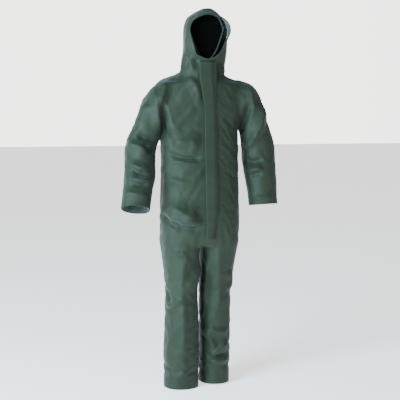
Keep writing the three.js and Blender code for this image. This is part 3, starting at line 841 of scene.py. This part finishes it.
def coatedCloth(name, low, high, rough=0.68, coat=0.06):
    finish = Finish(name, **{"Specular IOR Level": 0.24, "Coat Roughness": 0.55, "Coat Weight": coat,
                             "Coat IOR": 1.4, "Sheen Weight": 0.1, "Sheen Roughness": 0.45,
                             "Sheen Tint": (0.7, 0.88, 1, 1)})
    cloudy = finish.noise(7, 4, 0.55)
    sewn = finish.node("ShaderNodeAttribute", {"attribute_name": "seamGap"}, out=2)
    stitch = finish.node("ShaderNodeMapRange", {"interpolation_type": "SMOOTHSTEP"}, {
        0: finish.node("ShaderNodeMath", {"operation": "ABSOLUTE"}, {0: sewn - 6.5}), 1: 0.4, 2: 1.3,
            3: 1.0, 4: 0.0})
    turned = finish.node("ShaderNodeMapRange", {}, {0: sewn, 1: 8.0, 2: 9.5, 3: 1.0, 4: 0.0})
    wear = finish.tones(cloudy, low, high, (0.3, 0.72))
    darker = finish.node("ShaderNodeMix", {"data_type": "RGBA"},
        {0: stitch * 0.55, 6: wear, 7: (0.008, 0.011, 0.008, 1)}, 2)
    finish.feed("Base Color", darker)
    grain = finish.noise(1500, 2, 0.6)
    pebble = finish.node("ShaderNodeTexVoronoi", {}, {"Vector": finish.place(), "Scale": 620.0})
    crease = finish.noise(34, 5, 0.6)
    finish.feed("Roughness", rough - 0.05 + cloudy * 0.07 + crease * 0.06)
    rolling = finish.bump(crease, 0.0016, 0.6)
    sewnRelief = finish.bump(turned * 0.6 - stitch, 0.0007, 0.8, rolling)
    finish.feed("Normal", finish.bump(grain * 0.5 + pebble * 0.5, 0.00022, 0.5, sewnRelief))
    return finish.material


def knitBacking():
    finish = Finish("knitBacking", **{"Sheen Weight": 0.3})
    cloudy = finish.noise(30, 3, 0.5)
    finish.feed("Base Color", finish.tones(cloudy, (0.012, 0.016, 0.012, 1), (0.026, 0.032, 0.024, 1)))
    rows = finish.node("ShaderNodeTexWave", {"bands_direction": "Z"}, {
        "Vector": finish.place(), "Scale": 210.0, "Distortion": 1.2, "Detail": 1.0})
    finish.feed("Roughness", 0.82 + rows * 0.12)
    finish.feed("Normal", finish.bump(rows, 0.0004, 0.6))
    return finish.material


def veilNet():
    finish = Finish("veilNet", **{"Specular IOR Level": 0.03})
    holes = finish.node("ShaderNodeTexVoronoi", {"feature": "DISTANCE_TO_EDGE"}, {
        "Vector": finish.place((1, 0.1, 1)), "Scale": 520.0, "Randomness": 0.15})
    threads = finish.node("ShaderNodeMapRange", {"interpolation_type": "SMOOTHSTEP"},
        {0: holes, 1: 0.06, 2: 0.2, 3: 1.0, 4: 0.0})
    # the open cells between the threads take the darker tone, which is painted shade for the shaded inside of the
    # hood seen through them; the threads keep the net's own black
    finish.feed("Base Color",
        finish.tones(threads, (0.0004, 0.0004, 0.0003, 1), (0.0022, 0.0022, 0.0016, 1), (0.1, 0.9)))
    finish.feed("Roughness", 0.95 - threads * 0.2)
    finish.feed("Normal", finish.bump(threads, 0.0003, 0.7))
    return finish.material


def wovenTape(name, low, high, scale):
    finish = Finish(name, **{"Sheen Weight": 0.2, "Specular IOR Level": 0.3})
    ribs = finish.node("ShaderNodeTexWave", {"bands_direction": "Z"}, {
        "Vector": finish.place(), "Scale": scale, "Distortion": 0.6, "Detail": 1.0})
    twill = finish.node("ShaderNodeTexWave", {"bands_direction": "X"}, {
        "Vector": finish.place(), "Scale": scale * 1.3, "Distortion": 0.4, "Detail": 1.0})
    weave = ribs * 0.55 + twill * 0.45
    finish.feed("Base Color", finish.tones(weave, low, high, (0.2, 0.8)))
    finish.feed("Roughness", 0.92 - weave * 0.14)
    finish.feed("Normal", finish.bump(weave, 0.0003, 0.7))
    return finish.material


def mouldedNylon():
    finish = Finish("mouldedNylon", **{"Specular IOR Level": 0.5})
    mottled = finish.noise(240, 3, 0.55)
    finish.feed("Base Color", finish.tones(mottled, (0.014, 0.019, 0.015, 1), (0.024, 0.031, 0.025, 1)))
    finish.feed("Roughness", 0.36 + mottled * 0.14)
    finish.feed("Normal", finish.bump(finish.noise(900, 2, 0.5), 0.0001, 0.35))
    return finish.material


def dullNickel():
    finish = Finish("dullNickel", **{"Metallic": 1.0})
    worn = finish.noise(160, 5, 0.6)
    brushed = finish.noise(90, 2, 0.5, (1, 1, 24))
    finish.feed("Base Color", finish.tones(worn, (0.12, 0.118, 0.108, 1), (0.27, 0.265, 0.245, 1)))
    finish.feed("Roughness", 0.28 + worn * 0.16 + brushed * 0.08)
    finish.feed("Normal", finish.bump(brushed, 0.00008, 0.4))
    return finish.material


outerCloth = coatedCloth("coatedCloth", (0.0086, 0.0134, 0.0046, 1), (0.013, 0.0196, 0.0074, 1))
backing = knitBacking()
netCloth = veilNet()
tapeCloth = wovenTape("wovenTape", (0.012, 0.016, 0.013, 1), (0.022, 0.028, 0.023, 1), 420.0)
elasticCloth = wovenTape("ribbedElastic", (0.10, 0.115, 0.10, 1), (0.16, 0.18, 0.16, 1), 260.0)
nylon = mouldedNylon()
nickel = dullNickel()


# The sewn pieces


def finishCloth(piece, held, replaced, outside, inside):
    # materials, what the piece stands for and what it moves with
    piece.data.materials.append(outside)
    piece.data.materials.append(inside)
    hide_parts(*replaced)
    if isinstance(held, str):
        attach(piece, held)
    else:
        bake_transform(piece)


for name, (planes, nodes, held) in parts.items():
    spots, faces, normals = cutOut(skin, planes)
    piece = clothPiece(name, spots, faces, normals, seams=planes)
    finishCloth(piece, held, nodes, outerCloth, backing)
print("suit pieces cut:", len(parts))


# Pieces laid out as grids of points

def gridPiece(name, grid, facing, wall, round=False):
    # grid: rows x columns x 3 in mm; facing: roughly where its outer side looks, or a test on the grid and its
    # normals
    grid = np.array(grid, float)
    rows, columns = grid.shape[:2]
    wrapped = np.concatenate([grid[-1:], grid, grid[:1]]) if round else grid
    along = np.gradient(wrapped, axis=0)
    along = along[1:-1] if round else along
    over = np.gradient(grid, axis=1)
    normals = np.cross(along, over)
    normals /= np.maximum(np.linalg.norm(normals, axis=2), 1e-9)[:, :, None]
    flip = np.sign((normals * np.array(facing)).sum(2).mean()) if not callable(facing) else np.sign(facing(grid, normals))
    faces = []
    for r in range(rows if round else rows - 1):
        for c in range(columns - 1):
            a, b = r * columns + c, ((r + 1) % rows) * columns + c
            faces.append([a, b, b + 1, a + 1] if flip > 0 else [a, a + 1, b + 1, b])
    return clothPiece(name, grid.reshape(-1, 3), faces, normals.reshape(-1, 3) * flip, wall=wall)


zipLine = {"x": 24.0, "bottomY": -146.0, "bottomZ": 790.0, "topY": -97.8, "topZ": 1494.0}
zipSlope = (zipLine["topY"] - zipLine["bottomY"]) / (zipLine["topZ"] - zipLine["bottomZ"])
zipUp = np.array([0, zipSlope, 1]) / math.hypot(1, zipSlope)
zipOut = np.array([0, -1, zipSlope]) / math.hypot(1, zipSlope)
zipLength = (zipLine["topZ"] - zipLine["bottomZ"]) * math.hypot(1, zipSlope)


def onZip(x, out, climb):
    # x across, out of the cloth, and mm up the zip from its bottom
    base = np.array([zipLine["x"], zipLine["bottomY"], zipLine["bottomZ"]])
    return base + np.array([x, 0, 0]) + zipOut * out + zipUp * climb


def climbAt(z):
    return (z - zipLine["bottomZ"]) * math.hypot(1, zipSlope)


# Storm flap, sewn down along its left side and free along its right

flapCut = {"attached": 59.0, "free": -3.0, "chin": -24.0, "top": 1574.0, "bottom": 738.0, "lift": 8.5,
    "wall": 1.9}


def flapSides(z):
    free = np.interp(z, [738, 1370, 1490, 1574],
        [flapCut["free"], flapCut["free"], flapCut["chin"], flapCut["chin"]])
    attached = np.interp(z, [738, 860, 1574],
        [flapCut["attached"] - 26, flapCut["attached"], flapCut["attached"]])
    return free, attached


def flapLift(z, share):
    # share runs from 0 at the free edge to 1 at the sewn edge; the cloth clears the studs below it
    swell = 0.5 + 0.5 * math.sin(z * 0.031 + share) + 0.4 * math.sin(z * 0.0713 + 1.3) + 0.3 * math.sin(z * 0.117)
    return flapCut["lift"] + max(swell, 0) * 1.1 - (flapCut["lift"] - 0.6) * float(ease(share, 0.7, 1.0))


flapRows = []
for z in np.arange(flapCut["bottom"], flapCut["top"] + 1, 7.6):
    free, attached = (float(v) for v in flapSides(z))
    span = attached - free
    row = []
    for reach in (0, 1.2, 2.6, 4.6, 5.6, 6.6, 9, 14, 22, 30, 38, 46, 52, 56, span - 4.4, span - 3.4,
        span - 2.4, span):
        reach = min(reach, span)
        share = reach / span
        out = flapLift(z, share)
        out -= 0.55 if reach == 5.6 or reach == span - 3.4 else 0  # stitching draws the cloth in
        out -= 5.2 if reach < 1 else 0.4 if reach < 2 else 0  # the free edge turns down over the studs
        row.append((reach, out))
    row = sorted(set(row))
    while len(row) < 18:
        row.insert(-1, row[-1])
    flapRows.append([onZip(free + r - zipLine["x"], o, climbAt(z)) for r, o in row])
stormFlap = gridPiece("stormFlap", flapRows, zipOut, flapCut["wall"])
finishCloth(stormFlap, "flap", ["storm_flap"], outerCloth, backing)

# Hood hem: a turned edge that wraps the face opening

hemCut = {"width": 18.0, "steps": 6, "proud": 0.9, "inside": 2.6, "around": 150}
hoodWhole, hoodFaces, _ = cutOut(skin, [aboveSeam, rimPlane])
hoodTree = BVHTree.FromPolygons([tuple(p) for p in hoodWhole], hoodFaces)
edgeCount = {}
for face in hoodFaces:
    for a, b in zip(face, face[1:] + face[:1]):
        key = (min(a, b), max(a, b))
        edgeCount[key] = edgeCount.get(key, 0) + 1
openEdge = sorted({v for key,
    met in edgeCount.items() if met == 1 for v in key if abs(hoodWhole[v][1] + 95) < 0.4
                   and hoodWhole[v][2] > 1578})
openEdge = hoodWhole[openEdge]
bearing = np.arctan2(openEdge[:, 2] - 1695, openEdge[:, 0] - 20)
openEdge = openEdge[np.argsort(bearing)]
gone = np.concatenate([[0],
    np.cumsum(np.linalg.norm(np.diff(np.concatenate([openEdge, openEdge[:1]]), axis=0), axis=1))])
evenly = np.linspace(0, gone[-1], hemCut["around"], endpoint=False)
looped = np.concatenate([openEdge, openEdge[:1]])
loop = np.stack([np.interp(evenly, gone, looped[:, k]) for k in range(3)], 1)
for _ in range(3):
    loop = 0.5 * loop + 0.25 * (np.roll(loop, 1, 0) + np.roll(loop, -1, 0))
hemRows = []
for i, spot in enumerate(loop):
    tangent = loop[(i + 1) % len(loop)] - loop[i - 1]
    tangent /= np.linalg.norm(tangent)
    radial = np.array([spot[0] - 20, 0, spot[2] - 1695])
    inwardsFirst = np.array([0, 1.0, 0]) + radial / np.linalg.norm(radial) * 0.35
    at, way, outer = spot.copy(), inwardsFirst, []
    for k in range(hemCut["steps"] + 1):
        near, normal, _, _ = hoodTree.find_nearest(Vector(at))
        near, normal = np.array(near), np.array(normal)
        outer.append((near, normal))
        across2 = np.cross(normal, tangent)
        across2 *= 1 if across2 @ way > 0 else -1
        way = across2
        at = near + way * hemCut["width"] / hemCut["steps"]
    first, firstNormal = outer[0]
    inner = [p - n * hemCut["inside"] for p, n in outer[:4]][::-1]
    lip = [first - firstNormal * 2.2 + np.array([0, -1.0, 0]),
        first - firstNormal * 0.9 + np.array([0, -1.9, 0]),
           first + firstNormal * 0.5 + np.array([0, -1.2, 0])]
    skinSide = []
    for k, (p, n) in enumerate(outer):
        skinSide.append(p + n * (hemCut["proud"] - (0.5 if k == hemCut["steps"] - 1 else 0)))
    end = [outer[-1][0] - outer[-1][1] * 0.6]
    hemRows.append(inner + lip + skinSide + end)
hemRows = np.array(hemRows)
for _ in range(2):
    hemRows = 0.5 * hemRows + 0.25 * (np.roll(hemRows, 1, 0) + np.roll(hemRows, -1, 0))
ringSize = hemRows.shape[1]
hemFaces = []
for i in range(len(hemRows)):
    for k in range(ringSize - 1):
        a, b = i * ringSize + k, i * ringSize + k + 1
        c, d = ((i + 1) % len(hemRows)) * ringSize + k + 1, ((i + 1) % len(hemRows)) * ringSize + k
        hemFaces.append((a, b, c, d))
# the strip's outside is the side away from the hood, all the way round the fold
spare = hemRows[0]
topSide = np.cross(spare[-3] - spare[-4], hemRows[1][-4] - spare[-4])
if topSide @ np.array(hoodTree.find_nearest(Vector(spare[-4]))[1]) < 0:
    hemFaces = [face[::-1] for face in hemFaces]
hoodHem = newMesh("hoodHem", (hemRows.reshape(-1, 3) + shift) / 1000, hemFaces)
folded = hoodHem.modifiers.new("strip", "SOLIDIFY")
folded.thickness, folded.offset = 0.0006, -1
bpy.context.view_layer.objects.active = hoodHem
bpy.ops.object.modifier_apply(modifier="strip")
finishCloth(hoodHem, hoodBend, ["hood_rim"], outerCloth, backing)
print("flap and hood hem laid")

# Veil: netting held by a narrow binding inside the hood

veilCut = {"y": -60.5, "sag": 4.0, "inset": 5.0, "rings": 14, "around": 96, "binding": 7.0}
faceHalf = [(1810, 0), (1798, 45), (1784, 66), (1733, 88), (1685, 74), (1646, 60), (1613, 43), (1588, 24),
    (1577, 0)]


def veilOutline(angle, inset):
    # farthest point of the egg-shaped opening from its middle, in one direction
    middle = np.array([0.0, 1700.0])
    way = np.array([math.cos(angle), math.sin(angle)])
    levels = [z for z, _ in faceHalf][::-1]
    halves = [h for _, h in faceHalf][::-1]
    low, high = 0.0, 200.0
    for _ in range(24):
        half = (low + high) / 2
        spot = middle + way * half
        inside = levels[0] < spot[1] < levels[-1] and abs(spot[0]) < np.interp(spot[1], levels, halves)
        low, high = (half, high) if inside else (low, half)
    return low - inset


angles = np.linspace(0, 2 * math.pi, veilCut["around"], endpoint=False)
reaches = np.array([veilOutline(a, veilCut["inset"]) for a in angles])
for _ in range(3):
    reaches = 0.5 * reaches + 0.25 * (np.roll(reaches, 1) + np.roll(reaches, -1))
netRows = []
for a, reach in zip(angles, reaches):
    row = []
    for share in [0.003] + [k / veilCut["rings"] for k in range(1, veilCut["rings"] + 1)]:
        row.append((20 + math.cos(a) * reach * share, veilCut["y"] + veilCut["sag"] * (1 - share**2),
                    1700 + math.sin(a) * reach * share))
    netRows.append(row)
veil = gridPiece("veilNetting", netRows, (0, -1, 0), 0.5, round=True)
finishCloth(veil, hoodBend, ["veil_netting"], netCloth, netCloth)
bindRows = []
for a, reach in zip(angles, reaches):
    way = np.array([math.cos(a), 0, math.sin(a)])
    middle = np.array([20, veilCut["y"], 1700])
    bindRows.append([middle + way * (reach - 3 + s * veilCut["binding"]) + np.array([0, -1.2 + 0.9 * s, 0])
                     for s in (0, 0.2, 0.5, 0.8, 1.0)])
binding = gridPiece("veilBinding", bindRows, (0, -1, 0), 2.4, round=True)
finishCloth(binding, hoodBend, ["veil_binding"], tapeCloth, tapeCloth)

# Zip tapes, guard behind the zip, waist elastic, gusset, hanger loop

climbs = np.arange(0, zipLength + 0.1, 6.0)
for side, sign in (("Right", -1), ("Left", 1)):
    tape = [[onZip(sign * x, -0.6 + 0.25 * math.sin(c * 0.05 + x), c) for x in (0.3, 1.6, 3.4, 5, 8,
        12)] for c in climbs]
    piece = gridPiece("zipTape" + side, tape, zipOut, 0.9)
    finishCloth(piece, "torso", ["zip_tape_" + side.lower()], tapeCloth, tapeCloth)
guard = [[onZip(x, -4.2 - 0.5 * math.sin(c * 0.037) * (1 - abs(x + 9) / 25), c) for x in np.linspace(-34,
    16, 12)]
         for c in climbs[1:-2]]
piece = gridPiece("zipGuard", guard, zipOut, 1.3)
finishCloth(piece, "torso", ["zip_guard"], outerCloth, backing)

elasticSpots, elasticFaces, elasticNormals = cutOut(
    skin, [((0, 0, waistZ - 15), down), ((0, 0, waistZ + 15), up), ((0, 12, 0), front), ((-180, 0, 0), west),
           ((180, 0, 0), east)])
gathers = np.sin(elasticSpots[:, 0] * 0.52) * 0.7
piece = clothPiece("waistElastic", elasticSpots + elasticNormals * gathers[:, None], elasticFaces,
    elasticNormals,
                   wall=1.6, lift=-4.6)
finishCloth(piece, "torso", ["waist_elastic"], elasticCloth, elasticCloth)

gussetRows = [[(1.1 + 0.4 * math.sin(y * 0.05), y,
    z + 5 * ((y - 3) / 81) ** 2 * (z < 700)) for z in np.linspace(693, 721, 7)]
              for y in np.linspace(-77, 83, 27)]
piece = gridPiece("crotchGusset", gussetRows, (1, 0, 0), 2.2)
finishCloth(piece, "torso", ["crotch_gusset"], outerCloth, backing)

loopRows = []
loopBox = [np.array(corner) * 1000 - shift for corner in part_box("hanger_loop")]
loopMiddle, loopHalf = (loopBox[0][0] + loopBox[1][0]) / 2, (loopBox[1][0] - loopBox[0][0]) / 2
loopY = (loopBox[0][1] + loopBox[1][1]) / 2
for t in np.linspace(0, math.pi, 41):
    out = abs(math.cos(t)) ** 0.55 * math.copysign(1, math.cos(t))
    dropped = math.sin(t) ** 0.55
    path = np.array([loopMiddle - out * (loopHalf - 4), loopY,
        loopBox[1][2] - 0.5 - dropped * (loopBox[1][2] - loopBox[0][2] - 4.5)])
    way = np.array([-out * 4.0, 0, -dropped * 4.0])
    loopRows.append([path + way * s + np.array([0, -0.25 * (1 - s * s), 0]) for s in (-0.95, -0.5, 0, 0.5,
        0.95)])
piece = gridPiece("hangerLoop", loopRows, (0, -1, 0), 1.2)
finishCloth(piece, "torso", ["hanger_loop"], tapeCloth, tapeCloth)
print("veil, zip cloth and trims laid")

# Zip hardware and press studs

zipFrame = Matrix.Translation(Vector((zipLine["x"], zipLine["bottomY"], zipLine["bottomZ"]))) @ Matrix((
    (1, 0, 0, 0), (0, -zipOut[1], zipUp[1], 0), (0, -zipOut[2], zipUp[2], 0), (0, 0, 0, 1)))


def settle(piece, name, material, slot, body, *nodes):
    # from the zip's own frame in mm to its place on the suit in metres
    moved = Matrix.Diagonal((0.001, 0.001, 0.001, 1)) @ Matrix.Translation(Vector(shift)) @ zipFrame
    piece.data.transform(moved @ piece.matrix_world)
    piece.matrix_world = Matrix.Identity(4)
    piece.name = piece.data.name = name
    piece.data.materials.clear()
    piece.data.materials.append(material)
    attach(piece, body)
    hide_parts(*nodes)
    return piece


def applyAll(piece):
    bpy.context.view_layer.objects.active = piece
    for modifier in list(piece.modifiers):
        bpy.ops.object.modifier_apply(modifier=modifier.name)


def block(size, at):
    dropSelection()
    bpy.ops.mesh.primitive_cube_add(size=1, location=at)
    bpy.ops.object.transform_apply(location=True, rotation=False, scale=False)
    piece = bpy.context.object
    piece.data.transform(Matrix.Translation(Vector(at)) @ Matrix.Diagonal((*size,
        1)) @ Matrix.Translation(-Vector(at)))
    return piece


def pickFaces(piece, test):
    # edit mode, with only the faces that pass the test selected
    bpy.context.view_layer.objects.active = piece
    bpy.ops.object.mode_set(mode="EDIT")
    bpy.ops.mesh.select_mode(type="FACE")
    bpy.ops.mesh.select_all(action="DESELECT")
    bpy.ops.object.mode_set(mode="OBJECT")
    for face in piece.data.polygons:
        face.select = test(face.center, face.normal)
    bpy.ops.object.mode_set(mode="EDIT")


def bevelled(piece, width, segments=2):
    bevel = piece.modifiers.new("bevel", "BEVEL")
    bevel.width, bevel.segments, bevel.limit_method = width, segments, "ANGLE"
    applyAll(piece)


toothRow = {"pitch": 3.0, "first": 5.0, "count": 230, "size": (2.5, 1.15, 1.5)}
for side, sign in (("right", -1), ("left", 1)):
    startAt = toothRow["first"] + (toothRow["pitch"] / 2 if sign > 0 else 0)
    tooth = block(toothRow["size"], (sign * 1.45, -0.3, startAt))
    pickFaces(tooth, lambda at, way: way.x * sign < -0.9)
    bpy.ops.mesh.inset(thickness=0.3)
    bpy.ops.mesh.bevel(offset=0.15, segments=1)
    bpy.ops.object.mode_set(mode="OBJECT")
    repeat = tooth.modifiers.new("repeat", "ARRAY")
    repeat.use_relative_offset, repeat.use_constant_offset = False, True
    repeat.constant_offset_displace, repeat.count = (0, 0, toothRow["pitch"]), toothRow["count"]
    applyAll(tooth)
    settle(tooth, "zipTeeth" + side.capitalize(), nylon, "nylon", "torso", "zip_teeth_" + side)
    stop = block((2.7, 1.8, 3.6), (sign * 1.65, -0.55, zipLength - 3.8))
    pickFaces(stop, lambda at, way: way.y < -0.9)
    bpy.ops.mesh.inset(thickness=0.5)
    bpy.ops.transform.translate(value=(0, 0.25, 0))
    bpy.ops.object.mode_set(mode="OBJECT")
    bevelled(stop, 0.3)
    settle(stop, "zipTopStop" + side.capitalize(), nickel, "metal", "torso", "zip_top_stop_" + side)
stop = block((6.4, 1.8, 3.6), (0, -0.55, 1.8))
pickFaces(stop, lambda at, way: way.y < -0.9)
bpy.ops.mesh.inset(thickness=0.6)
bpy.ops.transform.translate(value=(0, 0.25, 0))
bpy.ops.object.mode_set(mode="OBJECT")
bevelled(stop, 0.3)
settle(stop, "zipBottomStop", nickel, "metal", "torso", "zip_bottom_stop")

sliderCut = {"length": 13.0, "half": 4.6, "top": zipLength - 8}
middle = sliderCut["top"] - sliderCut["length"] / 2
slider = block((9.2, 0.9, 13), (0, -2.0, middle))
pickFaces(slider, lambda at, way: abs(way.z) > 0.9)
bpy.ops.transform.resize(value=(0.78, 1, 1))
bpy.ops.object.mode_set(mode="OBJECT")
pickFaces(slider, lambda at, way: way.y < -0.9)
bpy.ops.mesh.inset(thickness=1.0)
bpy.ops.mesh.extrude_region_move(TRANSFORM_OT_translate={"value": (0, -0.35, 0)})
bpy.ops.object.mode_set(mode="OBJECT")
bevelled(slider, 0.35, 3)
cheeks = [block((0.9, 2.4, 12.2), (sign * 3.9, -0.95, middle)) for sign in (-1, 1)]
bridge = block((1.8, 2.2, 8), (0, -3.6, middle))
pickFaces(bridge, lambda at, way: abs(way.x) > 0.9)
bpy.ops.mesh.inset(thickness=0.55)
bpy.ops.mesh.bridge_edge_loops()
bpy.ops.object.mode_set(mode="OBJECT")
for piece in cheeks + [bridge]:
    bevelled(piece, 0.2)
dropSelection()
for piece in cheeks + [bridge, slider]:
    piece.select_set(True)
bpy.context.view_layer.objects.active = slider
bpy.ops.object.join()
settle(slider, "zipSlider", nickel, "metal", "slider", "zip_slider")

pullPlate = block((6.8, 0.7, 23.2), (0, -3.55, middle - 10))
pickFaces(pullPlate, lambda at, way: abs(way.y) > 0.9)
bpy.ops.mesh.inset(thickness=1.5)
bpy.ops.object.mode_set(mode="OBJECT")
bevelled(pullPlate, 0.28, 3)
settle(pullPlate, "zipPull", nickel, "metal", "pull", "zip_pull")

studCut = {"x": 4.0, "top": 1470.0, "bottom": 800.0, "count": 6}
postProfile = [(0, 0.5), (5.4, 0.5), (5.5, 0.9), (5.2, 1.3), (3.4, 1.45), (2.6, 1.7), (2.4, 2.5),
    (1.9, 2.85), (0, 2.9)]
socketProfile = [(0, 4.55), (1.9, 4.3), (2.7, 4.35), (3.0, 4.0), (3.8, 3.95), (4.6, 4.3), (5.3, 5.0),
    (5.5, 5.7),
                 (5.2, 6.2), (0, 6.3)]


def turned(name, profile, turns=28):
    # a profile of radius and height spun round the stud's own axis, which points out of the cloth
    dropSelection()
    form = newMesh(name, [(r, -h, 0) for r, h in profile], [])
    work = bmesh.new()
    work.from_mesh(form.data)
    work.verts.ensure_lookup_table()
    for a, b in zip(work.verts[:-1], work.verts[1:]):
        work.edges.new((a, b))
    work.to_mesh(form.data)
    work.free()
    form.select_set(True)
    bpy.context.view_layer.objects.active = form
    bpy.ops.object.mode_set(mode="EDIT")
    bpy.ops.mesh.select_all(action="SELECT")
    bpy.ops.mesh.spin(steps=turns, angle=2 * math.pi, center=(0, 0, 0), axis=(0, 1, 0))
    bpy.ops.mesh.select_all(action="SELECT")
    bpy.ops.mesh.remove_doubles(threshold=0.01)
    bpy.ops.mesh.normals_make_consistent(inside=False)
    bpy.ops.mesh.faces_shade_smooth()
    bpy.ops.object.mode_set(mode="OBJECT")
    return form


studForms = {"stud_post": ("studPost", turned("studPost", postProfile), "torso"),
             "stud_socket": ("studSocket", turned("studSocket", socketProfile), "flap")}
for node, (name, form, body) in studForms.items():
    for i in range(studCut["count"]):
        z = studCut["top"] + (studCut["bottom"] - studCut["top"]) * i / (studCut["count"] - 1)
        copy = bpy.data.objects.new(name, form.data.copy())
        bpy.context.collection.objects.link(copy)
        copy.matrix_world = Matrix.Translation(Vector((studCut["x"] - zipLine["x"], 0, climbAt(z))))
        settle(copy, f"{name}{i + 1}", nickel, "metal", body, f"{node}_{i + 1}")
    bpy.data.objects.remove(form)
print("zip hardware and studs made")

# Room and light

bpy.data.objects.remove(skin)
dropSelection()
bpy.ops.mesh.primitive_plane_add(size=60, location=(0, 0, -0.002))
floor = bpy.context.object
floor.name = "floor"
paper = Finish("paper", **{"Roughness": 0.9, "Base Color": (0.92, 0.92, 0.92, 1),
                           "Emission Color": (1, 1, 1, 1), "Emission Strength": 1.15})
floor.data.materials.append(paper.material)

room = {"bright": 3.8, "dim": 0.28, "tone": (1.0, 1.0, 0.97, 1)}
world = bpy.data.worlds.new("room")
bpy.context.scene.world = world
world.use_nodes = True
tree = world.node_tree
sky = tree.nodes["Background"]
sky.inputs[0].default_value = room["tone"]
heading = tree.nodes.new("ShaderNodeTexCoord")
split = tree.nodes.new("ShaderNodeSeparateXYZ")
tree.links.new(heading.outputs["Generated"], split.inputs[0])
ramp = tree.nodes.new("ShaderNodeMapRange")
ramp.interpolation_type = "SMOOTHSTEP"
for socket, value in ((1, 0.66), (2, 0.93), (3, room["dim"]), (4, room["bright"])):
    ramp.inputs[socket].default_value = value
tree.links.new(split.outputs["Y"], ramp.inputs[0])
tree.links.new(ramp.outputs[0], sky.inputs[1])


def softLight(name, at, aim, size, power, tone):
    lamp = bpy.data.lights.new(name, "AREA")
    lamp.shape, lamp.size, lamp.size_y = "RECTANGLE", size[0], size[1]
    lamp.energy, lamp.color = power, tone
    light = bpy.data.objects.new(name, lamp)
    bpy.context.collection.objects.link(light)
    light.location = at
    light.rotation_euler = (Vector(aim) - Vector(at)).to_track_quat("-Z", "Y").to_euler()


softLight("windowLight", (-3.4, -2.4, 2.0), (0, 0, 0.95), (2.2, 2.8), 860, (0.52, 0.8, 1.0))
softLight("fillLight", (1.2, -4.2, 2.4), (0, 0, 0.9), (1.8, 1.8), 8, (1.0, 0.97, 0.82))
